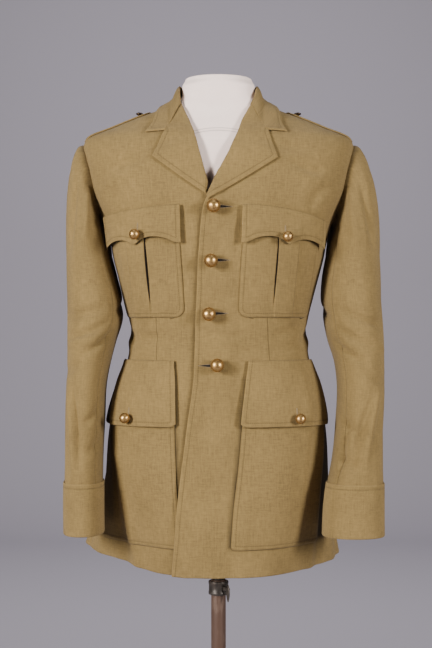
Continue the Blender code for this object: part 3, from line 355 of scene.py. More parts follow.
def outward(turn, height):
    """The block's unit normal, from differences round the ring and up the surface."""
    along = block(turn + 0.004, height) - block(turn - 0.004, height)
    up = block(turn, height + 1.5 * MM) - block(turn, height - 1.5 * MM)
    return unit(np.cross(along, up))


LEVELS, LEVEL_STEP = np.arange(736, 1527, 2) * MM, 2 * MM
TURNS = np.linspace(-np.pi, np.pi, 721)
rings = block(TURNS[None, :], LEVELS[:, None] + 0 * TURNS[None, :])
lengths = np.concatenate([np.zeros((len(LEVELS), 1)), np.cumsum(
    np.linalg.norm(np.diff(rings, axis=1), axis=2), axis=1)], axis=1)
lengths -= lengths[:, 360:361]
ARC_FIRST, ARC_STEP = -0.7, 2 * MM
ARCS = np.arange(ARC_FIRST, 0.7001, ARC_STEP)
TURN_OF_ARC = np.array([np.interp(ARCS, row, TURNS) for row in lengths])


def look_up(table, row, column):
    """A table read between its four nearest entries."""
    row, column = np.clip(row, 0, table.shape[0] - 1.001), np.clip(column, 0, table.shape[1] - 1.001)
    r, c = row.astype(int), column.astype(int)
    a, b = row - r, column - c
    return ((1 - a) * ((1 - b) * table[r, c] + b * table[r, c + 1])
            + a * ((1 - b) * table[r + 1, c] + b * table[r + 1, c + 1]))


def turn_at(arc, height):
    """The angle round the block at an arc and a height."""
    return look_up(TURN_OF_ARC, (height - LEVELS[0]) / LEVEL_STEP, (arc - ARC_FIRST) / ARC_STEP)


def arc_at(turn, height):
    """The arc at an angle round the block and a height."""
    return look_up(lengths, (height - LEVELS[0]) / LEVEL_STEP, (turn - TURNS[0]) / (TURNS[1] - TURNS[0]))


# The dress form: a padded body covered in off-white calico, with a neck and a flat neck top. Only
# its neck and the front of its chest show, with a doubled seam round the base of the neck, and a dark
# brown patch of painted shade low on the chest where the fronts part at the foot of the V.

FORM = Table("height half_width front back square", [
    (800, 138, 92, 100, 2.3), (830, 146, 97, 106, 2.3), (900, 153, 100, 109, 2.3), (980, 153, 98, 106, 2.3),
    (1050, 141, 91, 95, 2.25), (1120, 129, 86, 86, 2.2), (1187, 138, 93, 92, 2.2), (1255, 153, 102, 101, 2.25),
    (1320, 167, 105, 104, 2.3), (1370, 182, 103, 104, 2.35), (1410, 193, 97, 101, 2.35), (1450, 199, 82, 88, 2.35)])
NECK = Table("height half_width depth shift", [
    (1500, 84, 56, 0), (1515, 74, 52.5, 1.5), (1525, 64, 50.5, 2), (1535, 61.5, 50, 2),
    (1543, 61.8, 50.4, 2), (1550, 60.5, 49.6, 2), (1558, 56.5, 46.5, 2)])


def form_ring(turn, height):
    """The form's own ring low down, the block moved in by 4 mm at the shoulders, and the neck's ellipse."""
    mm = height / MM
    at = FORM.at(np.minimum(mm, 1450))
    cosine, sine = np.cos(turn), np.sin(turn)
    x = at["half_width"] * MM * signed(sine, 2 / at["square"])
    y = -np.where(cosine > 0, at["front"], at["back"]) * MM * signed(cosine, 2 / at["square"])
    own = np.stack([x, y, height], axis=-1)
    low = np.minimum(height, 1520 * MM)
    inset = (4.2 + 4 * (1 - ease((mm - 1457) / 25))) * MM
    cover = block(turn, low) - outward(turn, low) * inset[..., None]
    neck = NECK.at(mm)
    power = np.where(cosine > 0, 2 - 0.75 * ease((1556 - mm) / 12), 2) / 2
    upper = np.stack([neck["half_width"] * MM * signed(sine, power),
                      neck["shift"] * MM - neck["depth"] * MM * signed(cosine, power), height], axis=-1)
    share, rise = ease((mm - 1425) / 52)[..., None], ease((mm - 1499) / 17)[..., None]
    body = own * (1 - share) + cover * share
    return body * (1 - rise) + upper * rise


turn, height = np.meshgrid(np.arange(120) * 2 * np.pi / 120,
                           np.r_[np.linspace(800, 1440, 90), np.linspace(1446, 1558, 57)] * MM)
form_points = form_ring(turn, height)
neck_centre = np.array([0, 2 * MM, 0])
top_rings = [neck_centre + (form_points[-1] - neck_centre) * np.array([share, share, 1]) + np.array([0, 0, rise * MM])
             for share, rise in ((0.992, 1.4), (0.975, 2.7), (0.94, 3.6), (0.89, 4.0), (0.6, 4.0), (0.3, 4.0))]
form_points = np.concatenate([form_points, np.array(top_rings)])

calico = Finish("calico", (0.96, 0.80, 0.72), 0.88, Sheen_Weight=0.1)
weave_x = calico.node("ShaderNodeTexWave", {"wave_type": "BANDS", "bands_direction": "X"},
                      Vector=calico.place((1, 1, 1)), Scale=420, Distortion=1.5)
weave_z = calico.node("ShaderNodeTexWave", {"wave_type": "BANDS", "bands_direction": "Z"},
                      Vector=calico.place((1, 1, 1)), Scale=420, Distortion=1.5)
blotch = calico.noise((14, 14, 9), 4)
spot = calico.node("ShaderNodeSeparateXYZ", Vector=calico.place((1, 1, 1)))
height_of = Sum(calico.tree, spot.socket.node.outputs[2])
across_of = Sum(calico.tree, spot.socket.node.outputs[0])
seam_line = height_of - 1.4655 + across_of * across_of * 3.5
seams = (seam_line - 0.0024).bell(0.0009) + (seam_line + 0.0024).bell(0.0009)
stain = (blotch - 0.5).maths("MULTIPLY", (blotch - 0.46), 1.6, clamp=True)
# Painted shade: a dark brown patch on the calico low in the V, where the form lies in shadow behind the fronts.
foot = (height_of - 1.378).bell(0.015) * (across_of + 0.0150).bell(0.0065)
calico_colour = calico.tint((0.97, 0.80, 0.725, 1), (0.84, 0.64, 0.56, 1), stain)
calico_colour = calico.tint(calico_colour, (0.52, 0.40, 0.36, 1), seams * 0.75)
calico_colour = calico.tint(calico_colour, (0.075, 0.034, 0.018, 1), foot * 0.95)
CALICO = calico.paint(calico_colour, (blotch - 0.5) * 0.2 + 0.88,
                      weave_x * 0.25 + weave_z * 0.25 - seam_line.bell(0.0012) * 1.5 - seams * 0.5, 0.0004, 0.6)
form_size = form_points.shape[:2]
mesh_object("form", form_points, faces(*form_size, False, True) + ends(*form_size), CALICO, "figure", "calico")

# The wool: a fine khaki twill, slightly slubbed up the piece, faded and rubbed lighter on its
# turned edges. Topstitching runs 7 mm inside them, its groove darkened with painted shade. Each piece
# carries its distance in metres from its stitched edge and its dart as attributes, and where its
# pleat gapes, painted near black as shade, and where painted shade darkens folds, gaps and edges.


def wool_finish(name, colour):
    """Twill ribs, slubs both ways, faded patches, topstitching with painted shade in its groove, darts, and painted
    shade in slits and folds.
    """
    wool = Finish(name, colour, 0.93, Sheen_Weight=0.06, Sheen_Roughness=0.6, Specular_IOR_Level=0.18)
    twill = wool.node("ShaderNodeTexWave", {"wave_type": "BANDS", "bands_direction": "DIAGONAL"},
                      Vector=wool.place((1, 0.72, 1), True), Scale=330, Distortion=2.4, Detail=2.0)
    threads = wool.noise((1900, 800, 1), 2, True)
    slubs = wool.noise((520, 44, 1), 4, True, 0.65)
    crossing = wool.noise((60, 500, 1), 4, True, 0.65)
    flecks = wool.noise((170, 150, 1), 3, True, 0.6)
    fibres = wool.noise((900, 900, 1), 2, True)
    patches = wool.noise((16, 11, 1), 4, True)
    edge, dart, slit, shade = (wool.attribute(key) for key in ("edge", "dart", "slit", "shade"))
    run = wool.node("ShaderNodeSeparateXYZ", Vector=wool.place((1, 1, 1), True))
    along = Sum(wool.tree, run.socket.node.outputs[0]) + Sum(wool.tree, run.socket.node.outputs[1])
    line = abs(edge - 0.007).below(0.00055, 0.0004)
    dashes = (along * (2 * math.pi / 0.0033)).sine().below(0.45, 0.5)
    groove = (edge - 0.007).bell(0.0013)
    dart_line = dart.bell(0.0009)
    rub = edge.below(0.0014, 0.0015)
    tone = ((slubs - 0.5) * 1.25 + (crossing - 0.5) * 1.25 + (flecks - 0.5) * 0.7 + (threads - 0.5) * 0.9
            + (patches - 0.5) * 0.9 + (twill - 0.5) * 0.3)
    mottle = tone.maths("ADD", tone, 0.5, clamp=True)
    deep, bright = tuple(0.70 * c for c in colour), tuple(1.30 * c for c in colour)
    base = wool.tint((*deep, 1), (*bright, 1), mottle)
    # The thread's dashes are its own colour; the darkening across the 7 mm groove is painted shade.
    base = wool.tint(base, (*(0.5 * c for c in colour), 1), line * dashes * 0.5 + groove * 0.26)
    base = wool.tint(base, (*(0.4 * c for c in colour), 1), dart_line * 0.6)
    base = wool.tint(base, (*(1.35 * c for c in colour), 1), rub * 0.45)
    # Painted shade: folds, gaps, pocket edges and the sleeves' inner sides darkened towards black brown.
    base = wool.tint(base, (*(0.22 * c for c in colour), 1), shade)
    # Painted shade: the pleat's gaping slit painted near black.
    base = wool.tint(base, (0.010, 0.005, 0.002, 1), slit.below(1.0, 0.5))
    relief = (twill * 0.35 + threads * 0.5 + fibres * 0.35 + slubs * 0.8 + crossing * 0.5 - groove * 0.7
              + line * dashes * 0.7 - dart_line * 2.2)
    return wool.paint(base, (fibres - 0.5) * 0.1 + 0.92, relief, 0.00045, 0.75)


WOOL_LOOK = wool_finish("khaki_wool", (0.186, 0.1245, 0.0435))
WALL = 2.0 * MM
FAR = 0.1


def woven(name, grid, place, edge=FAR, dart=FAR, flip=False, wrap=False, wall=WALL, slit=9, shade=0):
    """A cloth piece: a grid of its outer face, its place on the flat piece, and a wall turned inwards."""
    rows, columns = grid.shape[:2]
    turned = -1 if flip else 1
    quads = np.array(faces(rows, columns, False, wrap))[:, ::turned]
    spots = np.array(faces(*place.shape[:2]))[:, ::turned]
    mesh = bpy.data.meshes.new(name)
    mesh.from_pydata(grid.reshape(-1, 3).tolist(), [], quads.tolist())
    mesh.uv_layers.new(name="cut").data.foreach_set("uv", place.reshape(-1, 2)[spots.ravel()].ravel())
    for key, values in (("edge", edge), ("dart", dart), ("slit", slit), ("shade", shade)):
        stored = mesh.attributes.new(key, "FLOAT", "POINT")
        stored.data.foreach_set("value", np.broadcast_to(np.asarray(values, float), (rows, columns)).ravel())
    mesh.update()
    mesh.shade_smooth()
    mesh.materials.append(WOOL_LOOK)
    made = bpy.data.objects.new(name + "_look", mesh)
    bpy.context.scene.collection.objects.link(made)
    solid = made.modifiers.new("wall", "SOLIDIFY")
    solid.thickness, solid.offset = wall, -1
    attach(made, "figure")
    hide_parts(name)
    return made


def to_path(path, u, v):
    """The least distance of points (u, v) from a line through some points."""
    best = np.full(np.broadcast(u, v).shape, FAR)
    for (u0, v0), (u1, v1) in zip(path[:-1], path[1:]):
        du, dv = u1 - u0, v1 - v0
        t = np.clip(((u - u0) * du + (v - v0) * dv) / max(du * du + dv * dv, 1e-12), 0, 1)
        best = np.minimum(best, np.hypot(u - u0 - t * du, v - v0 - t * dv))
    return best


def turned_edge(distance):
    """A turned and topstitched edge: rounded over its last millimetre, with a trough at 7 mm."""
    return -0.7 * MM * bell(distance, 0.9 * MM) - 0.16 * MM * bell(distance - 7 * MM, 1.4 * MM)


def seamed(distance):
    """A pressed seam: the cloth turns down over its last two millimetres."""
    return -0.7 * MM * bell(distance, 1.5 * MM)


NEAR = np.array([0, 0.8, 1.8, 3.4, 5.4, 7.0, 8.6, 11]) * MM


def between(first, last, count, near_first=NEAR, near_last=NEAR[:4]):
    """Places from one edge to the other, close together beside each edge: a row for each pair."""
    first, last = np.atleast_1d(first)[:, None], np.atleast_1d(last)[:, None]
    way = np.sign(last - first)
    room = np.abs(last - first)
    reach = np.minimum(1, room / (2.4 * (near_first[-1] + near_last[-1])))
    start, end = first + way * near_first * reach, last - way * near_last[::-1] * reach
    middle = np.linspace(0, 1, count + 2)[1:-1]
    return np.concatenate([start, start[:, -1:] + (end[:, :1] - start[:, -1:]) * middle, end], axis=1)


# The two fronts and the two backs, cut from the wool and seamed at the sides, shoulders and centre
# back. The left front laps over the right one and buttons; above the top button both fold back
# along the lapels' roll lines. Each front has a dart from its chest pocket down to its lower one.

LINES = Table("height left_edge right_edge centre pocket_front pocket_rear", [
    (742, -84, -8, -28, 38, 226), (785, -77, -7, -27, 40, 228), (851, -70, -3, -25, 44, 230),
    (906, -63, 0, -22, 49, 231), (980, -52, 4, -18, 54, 232), (1062, -40, 7, -13, 60, 208),
    (1087, -39, 8, -12, 62, 194), (1124, -38, 8, -12, 50, 188), (1157, -37, 8, -12, 44, 184),
    (1200, -35, 8, -12, 45, 186), (1249, -33, 8, -12, 48, 190), (1292, -30, 8, -12, 51, 193),
    (1322, -27, 8, -12, 52, 193), (1341, -23, 0, -12, 53, 193), (1357, -16, -14, -12, 54, 193),
    (1383, -5, -23, -12, 55, 193), (1413, 12, -30, -12, 56, 193), (1458, 33, -43, -12, 57, 193),
    (1483, 42, -52, -12, 58, 193), (1506, 56, -64, -12, 59, 193), (1520, 74, -82, -12, 59, 193)])
HEM, NECKLINE = 742 * MM, 1520 * MM
ARMPIT, SHOULDER_TIP = 1312 * MM, 1447 * MM
ARMHOLE_FRONT, ARMHOLE_BACK = 60 * MM, 64 * MM
BREAK = 1357 * MM

# Soft creases, in millimetres: the arc and height at each end, how far it bows, its width and its
# rise (troughs are negative). The wearer's right is at negative arcs.
CREASES = [
    (-40, 1139, 44, 1127, 5, 6, -1.5), (-52, 1121, 30, 1112, -4, 7, -1.3), (-34, 1130, 40, 1119, 4, 5, 0.9),
    (-20, 1106, 66, 1098, -3, 6, -1.0), (-150, 1136, -84, 1128, 5, 7, -1.3), (-176, 1116, -96, 1120, -4, 8, -1.5),
    (90, 1127, 168, 1139, -5, 7, -1.4), (84, 1112, 176, 1114, 5, 8, -1.2), (-214, 1150, -150, 1122, 6, 9, -1.8),
    (150, 1120, 218, 1152, 6, 9, -1.7), (-230, 1118, -170, 1104, -5, 8, 1.2), (172, 1104, 232, 1120, -5, 8, 1.2),
    (113, 1414, 176, 1394, 5, 8, -2.2), (120, 1402, 186, 1376, 5, 9, 1.3), (-186, 1400, -112, 1424, 4, 9, -1.4),
    (-196, 1380, -130, 1398, 5, 10, 1.1), (186, 1372, 150, 1330, 6, 10, -1.5), (-196, 1366, -158, 1336, -6, 10, -1.5),
    (60, 1452, 150, 1430, 6, 11, -1.1), (-150, 1428, -64, 1452, 6, 11, -1.1), (-26, 1344, -70, 1356, 4, 6, -1.1),
    (14, 1340, 66, 1354, 4, 6, -1.0), (-196, 1066, -160, 744, 5, 11, 3.2), (-214, 1050, -192, 742, -4, 12, -2.6),
    (197, 1060, 174, 744, -6, 12, 2.6), (216, 1046, 204, 742, 4, 13, -2.2), (-12, 1064, -24, 940, 4, 8, -1.2),
    (-46, 912, -58, 742, -4, 8, 1.0), (14, 936, 6, 744, 5, 12, -1.4), (32, 900, 30, 744, -3, 9, 1.0),
    (-86, 1060, -80, 1100, 2, 6, -0.9), (250, 1096, 262, 742, 8, 16, 2.8), (286, 1070, 306, 742, -8, 15, -3.2),
    (-256, 1092, -266, 742, -8, 16, 2.8), (-292, 1066, -312, 742, 8, 15, -3.2), (334, 1080, 352, 742, 6, 17, 2.6),
    (-340, 1076, -362, 742, -5, 18, 2.4), (392, 1060, 410, 742, -6, 14, -2.4), (-398, 1040, -420, 742, 6, 15, -2.4),
    (-330, 1140, -250, 1122, 6, 9, -1.8), (250, 1118, 336, 1142, -6, 9, -1.9), (-318, 1106, -240, 1096, -6, 9, -1.4),
    (236, 1092, 330, 1104, 6, 10, -1.3), (-40, 1286, -10, 1262, 3, 7, -0.8), (-8, 1200, 24, 1184, 3, 7, -0.9),
    (330, 1420, 270, 1330, 8, 14, -1.9), (-272, 1326, -334, 1424, 8, 14, -1.9), (358, 1390, 318, 1300, 7, 15, 1.4),
    (-320, 1296, -362, 1388, 7, 15, 1.4), (420, 1460, 330, 1440, 7, 12, -1.2), (-330, 1438, -420, 1460, 7, 12, -1.2),
]


BODY_DEPTH, HEM_DEPTH, SLEEVE_DEPTH = 2.5, 1.25, 2.8


def crease(x, y, run, climb, bow, width):
    """exp(-(distance / width)^2) beside a bowed line from (0, 0) to (run, climb), and the way t along it."""
    length = math.hypot(run, climb)
    t = np.clip((x * run + y * climb) / length**2, 0, 1)
    distance = (x * climb - y * run) / length - bow * MM * np.sin(np.pi * t)
    return bell(distance, width * MM), t


def creases(arc, height):
    """The sum of depth * rise * crease * sin(pi t)^0.7; a crease that runs out at the hem stays open there."""
    total = np.zeros(np.broadcast(arc, height).shape)
    for arc_from, height_from, arc_to, height_to, bow, width, rise in CREASES:
        beside, t = crease(arc - arc_from * MM, height - height_from * MM, (arc_to - arc_from) * MM,
                           (height_to - height_from) * MM, bow, width)
        open_end = height_to <= 744
        fade = np.sin(np.pi * (t * 0.62 if open_end else t)) ** 0.7
        total += (HEM_DEPTH if open_end else BODY_DEPTH) * rise * MM * beside * fade
    return total


def line(name, height):
    """A named line of the fronts at a height, in metres."""
    return LINES.read(name, np.asarray(height, float) / MM) * MM


def lap(arc, height):
    """How far the left front stands out over the right one and its lower pocket."""
    over = 1 - ease((arc - line("right_edge", height) - 5 * MM) / (22 * MM))
    below = 1 - ease((height - 1362 * MM) / (38 * MM))
    beside = 1 - ease((arc + 62 * MM) / (24 * MM))
    low = 1 - ease((height - 890 * MM) / (50 * MM))
    return 3.8 * MM * over * below + 3.4 * MM * beside * low


def on_cloth(arc, height, lift=0.0):
    """The block at an arc and height, moved out by the creases and a lift."""
    arc, height = np.broadcast_arrays(np.asarray(arc, float), np.asarray(height, float))
    turn = turn_at(arc, height)
    return block(turn, height) + outward(turn, height) * (creases(arc, height) + lift)[..., None]


def seam_turn(height):
    """The side seam's angle: 106 degrees at the hem, 96 from the armpit up."""
    return np.radians(96 + 10 * (1 - ease((height - HEM) / (ARMPIT - HEM))))


def outer_arc(side, height, front):
    """A panel's outer edge: the side seam, then half an armhole, w sin(turn), then the shoulder seam."""
    sign = SIDES[side]
    seam = arc_at(sign * seam_turn(height), height)
    turn = np.arccos(np.clip(1 - 2 * (height - ARMPIT) / (SHOULDER_TIP - ARMPIT), -1, 1))
    width = ARMHOLE_FRONT if front else -ARMHOLE_BACK
    return seam - sign * width * np.sin(turn)


hole_turn = np.linspace(0, np.pi, 44)
ROWS = np.r_[HEM + NEAR, np.linspace(HEM + 16 * MM, ARMPIT - 5 * MM, 116),
             ARMPIT + (SHOULDER_TIP - ARMPIT) * (1 - np.cos(hole_turn)) / 2, np.linspace(1450, 1519.6, 18) * MM]
HEM_RISE, RISE_MIDDLE, RISE_REACH = 20 * MM, -115, 60


def body_piece(name, arcs, heights, lift, inner_edge, dart=FAR, shade=0):
    """A panel from its arcs: seamed at its outer edge, turned at its hem and at its inner edge."""
    levels = heights[:, None] + 0 * arcs
    angle = np.degrees(turn_at(arcs, levels))
    levels += (HEM_RISE * ease(1 - np.abs(angle - RISE_MIDDLE) / RISE_REACH)
               * (1 - ease((levels - HEM) / (90 * MM))))
    inner, outer = np.abs(arcs - arcs[:, :1]), np.abs(arcs - arcs[:, -1:])
    edge = np.where(levels < BREAK, inner, FAR) if inner_edge else np.full(arcs.shape, FAR)
    low = heights[:, None] - HEM + 0 * arcs
    lifts = lift + seamed(outer) - 0.7 * MM * bell(low, 0.9 * MM)
    lifts += turned_edge(edge) if inner_edge else seamed(inner)
    flare = 0.9 * MM * np.sin(arcs / (31 * MM)) * np.exp(-low / (40 * MM))
    grid = on_cloth(arcs, levels, lifts + flare)
    sign = 1 if arcs[0, -1] > arcs[0, 0] else -1
    return woven(name, grid, np.stack([arcs * sign, levels], axis=-1), np.minimum(edge, FAR), dart, flip=sign < 0,
                 shade=shade)


# Each dart's arc and height at its top, then at its bottom.
DARTS = {"left": (80, 1160, 84, 1088), "right": (-105, 1160, -104, 1088)}
for side, sign in SIDES.items():
    heights = ROWS
    inner = line(side + "_edge", heights)
    outer = outer_arc(side, heights, True)
    arcs = between(inner, outer, 52)
    levels = heights[:, None] + 0 * arcs
    lift = lap(arcs, levels) if side == "left" else 0
    top_arc, top, low_arc, bottom = (value * MM for value in DARTS[side])
    way = (top - levels) / (top - bottom)
    dart = arcs - (top_arc + (low_arc - top_arc) * way)
    dart = np.where((way > -0.05) & (way < 1.05), np.clip(dart, -0.05, 0.05), FAR)
    # Painted shade: a dark band on the right front beside the left front's lapped edge, and a dark line beside each
    # lower pocket's front edge where it stands off.
    beyond = line("left_edge", levels) - arcs
    shade = 0.42 * bell(np.maximum(beyond, 0), 7 * MM) * ease((1362 * MM - levels) / (30 * MM))
    pocket = sign * (arcs - line("centre", levels)) - line("pocket_front", levels)
    beside = bell(np.minimum(pocket + 0.5 * MM, 0), 4.2 * MM) * ease((1082 * MM - levels) / (30 * MM))
    beside *= ease((levels - 785 * MM) / (4 * MM)) * (0.92 if side == "left" else 0.8)
    body_piece("front_" + side, arcs, heights, lift, True, dart, np.maximum(beside, shade if side == "right" else 0))
    outer = outer_arc(side, heights, False)
    middle = arc_at(sign * np.full(heights.shape, math.pi - 1e-4), heights) + sign * 2 * MM
    arcs = between(middle, outer, 56, NEAR[:4])[:, ::-1]
    body_piece("back_" + side, arcs[:, ::-1], heights, 0, False)

# The sleeves, two pieces each, a topsleeve and an undersleeve, set into the armholes with a little
# fullness over the head. They hang forward with a bend at the elbow. A turned cuff is stitched on.

SLEEVE_COLUMNS = "height inner outer centre_y half_depth"
SLEEVES = {
    "right": Table(SLEEVE_COLUMNS, [
        (806, 189.5, 251.0, -70, 54), (850, 190.0, 251.4, -67, 55), (893, 190.5, 252.2, -62, 57),
        (922, 190.5, 253.0, -57, 58), (987, 188.5, 253.8, -45, 62), (1053, 186.0, 252.5, -32, 66),
        (1086, 180.0, 252.0, -25, 68), (1120, 171.5, 252.8, -18, 71), (1153, 162.0, 253.8, -10, 73),
        (1187, 162.5, 254.4, -4, 75), (1225, 171.5, 255.0, 0, 77), (1262, 181.5, 255.0, 4, 78)]),
    "left": Table(SLEEVE_COLUMNS, [
        (806, 169.0, 265.4, -100, 45), (850, 172.0, 266.2, -93, 46), (893, 178.0, 267.4, -83, 49),
        (922, 184.5, 268.8, -75, 52), (987, 193.0, 272.3, -58, 58), (1053, 196.7, 274.7, -40, 64),
        (1086, 193.0, 275.5, -30, 67), (1120, 183.0, 276.0, -22, 70), (1153, 177.0, 275.0, -14, 73),
        (1187, 173.0, 273.0, -8, 75), (1225, 175.5, 271.0, -2, 77), (1262, 182.5, 268.5, 3, 78)])}
SLEEVE_POWER = 2.25
SLEEVE_TOP, SLEEVE_END = 1262 * MM, 807 * MM
CUFF_LOW, CUFF_HIGH = 806, 889.5
UNDER_FROM, UNDER_TO = math.radians(-67.5), math.radians(45)
SLEEVE_GAP = 0.0035

# Sleeve creases: the turn round the sleeve in degrees (0 faces the body, 90 the front, 180 outside,
# 270 the rear) and the height in millimetres at each end, then bow, width and rise in millimetres.
SLEEVE_CREASES = {
    "right": [(60, 1176, 168, 1160, 6, 7, -2.4), (52, 1150, 150, 1124, 5, 6, -2.6), (64, 1120, 150, 1108, -5, 7, 1.6),
              (30, 1136, 108, 1096, 4, 6, -2.2), (90, 1090, 178, 1066, 6, 8, -1.8), (330, 1190, 400, 1166, 5, 8, -2.0),
              (120, 1398, 150, 1250, 8, 12, -2.2), (168, 1404, 186, 1180, -8, 14, 1.6), (88, 1380, 96, 1270, 5, 9, 2.0),
              (138, 1058, 112, 900, 9, 9, 2.2), (118, 1040, 92, 910, 6, 8, -2.4), (196, 1060, 172, 900, 8, 13, -1.8),
              (40, 1010, 96, 985, 4, 7, -1.6), (250, 1200, 226, 1040, 9, 14, -1.8), (232, 1370, 262, 1230, 8, 13, -1.9),
              (280, 1160, 236, 1128, 6, 9, -1.9), (290, 1130, 240, 1100, 5, 9, 1.4), (20, 960, 92, 940, 4, 8, -1.3),
              (140, 900, 132, 812, 3, 9, 1.1), (70, 880, 84, 812, 3, 9, -1.2)],
    "left": [(60, 1170, 160, 1146, 6, 7, -2.5), (46, 1142, 138, 1110, 5, 6, -2.6), (76, 1126, 158, 1100, -4, 7, 1.7),
             (28, 1120, 102, 1084, 4, 6, -2.2), (84, 1072, 170, 1052, 6, 8, -1.7), (330, 1184, 396, 1158, 5, 8, -2.0),
             (112, 1404, 140, 1262, 8, 12, -2.3), (158, 1402, 178, 1190, -8, 14, 1.7), (84, 1376, 92, 1276, 5, 9, 2.1),
             (128, 1046, 96, 900, 9, 9, 2.0), (106, 1030, 74, 906, 6, 8, -2.2), (190, 1052, 160, 900, 8, 13, -1.7),
             (30, 1000, 96, 968, 4, 7, -1.8), (252, 1196, 222, 1034, 9, 14, -1.8), (236, 1372, 264, 1226, 8, 13, -1.9),
             (280, 1152, 236, 1120, 6, 9, -1.9), (22, 944, 104, 916, 5, 8, -2.0), (60, 1000, 44, 900, 4, 9, -1.6),
             (128, 900, 124, 812, 3, 9, 1.1), (66, 884, 76, 812, 3, 9, -1.3)]}
SLEEVE_RADIUS = 62 * MM


def sleeve_creases(side, turn, height):
    """As creases on the body, the arc being the turn times the sleeve's mean radius."""
    total = np.zeros(np.broadcast(turn, height).shape)
    for turn_from, height_from, turn_to, height_to, bow, width, rise in SLEEVE_CREASES[side]:
        for whole in (-360, 0):
            start = math.radians(turn_from + whole) * SLEEVE_RADIUS
            run = math.radians(turn_to - turn_from) * SLEEVE_RADIUS
            beside, t = crease(turn * SLEEVE_RADIUS - start, height - height_from * MM, run,
                               (height_to - height_from) * MM, bow, width)
            total += SLEEVE_DEPTH * rise * MM * beside * np.sin(np.pi * t) ** 0.7
    return total


def sleeve_section(side, turn, height):
    """A level section: centre minus half sign(cos t)|cos t|^(2/p) across, and the same of sine in depth."""
    at = {name: value * MM for name, value in SLEEVES[side].at(height / MM).items()}
    cosine, sine = np.cos(turn), np.sin(turn)
    middle, half = (at["inner"] + at["outer"]) / 2, (at["outer"] - at["inner"]) / 2
    x = middle - half * signed(cosine, 2 / SLEEVE_POWER)
    y = at["centre_y"] - at["half_depth"] * signed(sine, 2 / SLEEVE_POWER)
    return np.stack([SIDES[side] * x, y, height + 0 * x], axis=-1)


def armhole(side, turn):
    """The armhole at a turn, 0 at the armpit and pi at the shoulder's tip, 2 mm under the body's edge."""
    shrink = -2.0 * MM
    height = ARMPIT + shrink + (SHOULDER_TIP - ARMPIT - 2 * shrink) * (1 - np.cos(turn)) / 2
    seam = arc_at(SIDES[side] * seam_turn(height), height)
    width = np.where(np.sin(turn) >= 0, ARMHOLE_FRONT, ARMHOLE_BACK) - shrink
    return seam - SIDES[side] * width * np.sin(turn), height


def sleeve(side, turn, way):
    """The sleeve at a turn and a way down it: a cubic Bezier from the armhole, 0 to 1, then sections."""
    arc, height = armhole(side, turn)
    hole_angle = turn_at(arc, height)
    start = block(hole_angle, height) + outward(hole_angle, height) * -1.0 * MM
    away = outward(hole_angle, height)
    high = (1 - np.cos(turn)) / 2
    away[..., 2] = 0.14 * high
    away = unit(away)
    reach, drop = (8 + 19 * high) * MM, (18 + 102 * high) * MM
    end = sleeve_section(side, turn, np.full(turn.shape, SLEEVE_TOP))
    t = np.clip(way, 0, 1)[..., None]
    head = ((1 - t)**3 * start + 3 * (1 - t)**2 * t * (start + away * reach[..., None])
            + 3 * (1 - t) * t**2 * (end + np.array([0, 0, 1]) * drop[..., None]) + t**3 * end)
    low = SLEEVE_TOP - np.clip(way - 1, 0, 1) * (SLEEVE_TOP - SLEEVE_END)
    return np.where(way[..., None] <= 1, head, sleeve_section(side, turn, low))


def grid_normals(points, middle):
    """Unit normals from the differences along a grid's rows and columns, turned away from its middle."""
    normal = np.cross(np.gradient(points, axis=1), np.gradient(points, axis=0))
    normal /= np.linalg.norm(normal, axis=-1, keepdims=True) + 1e-12
    return normal * np.sign(np.sum(normal * (points - middle)))


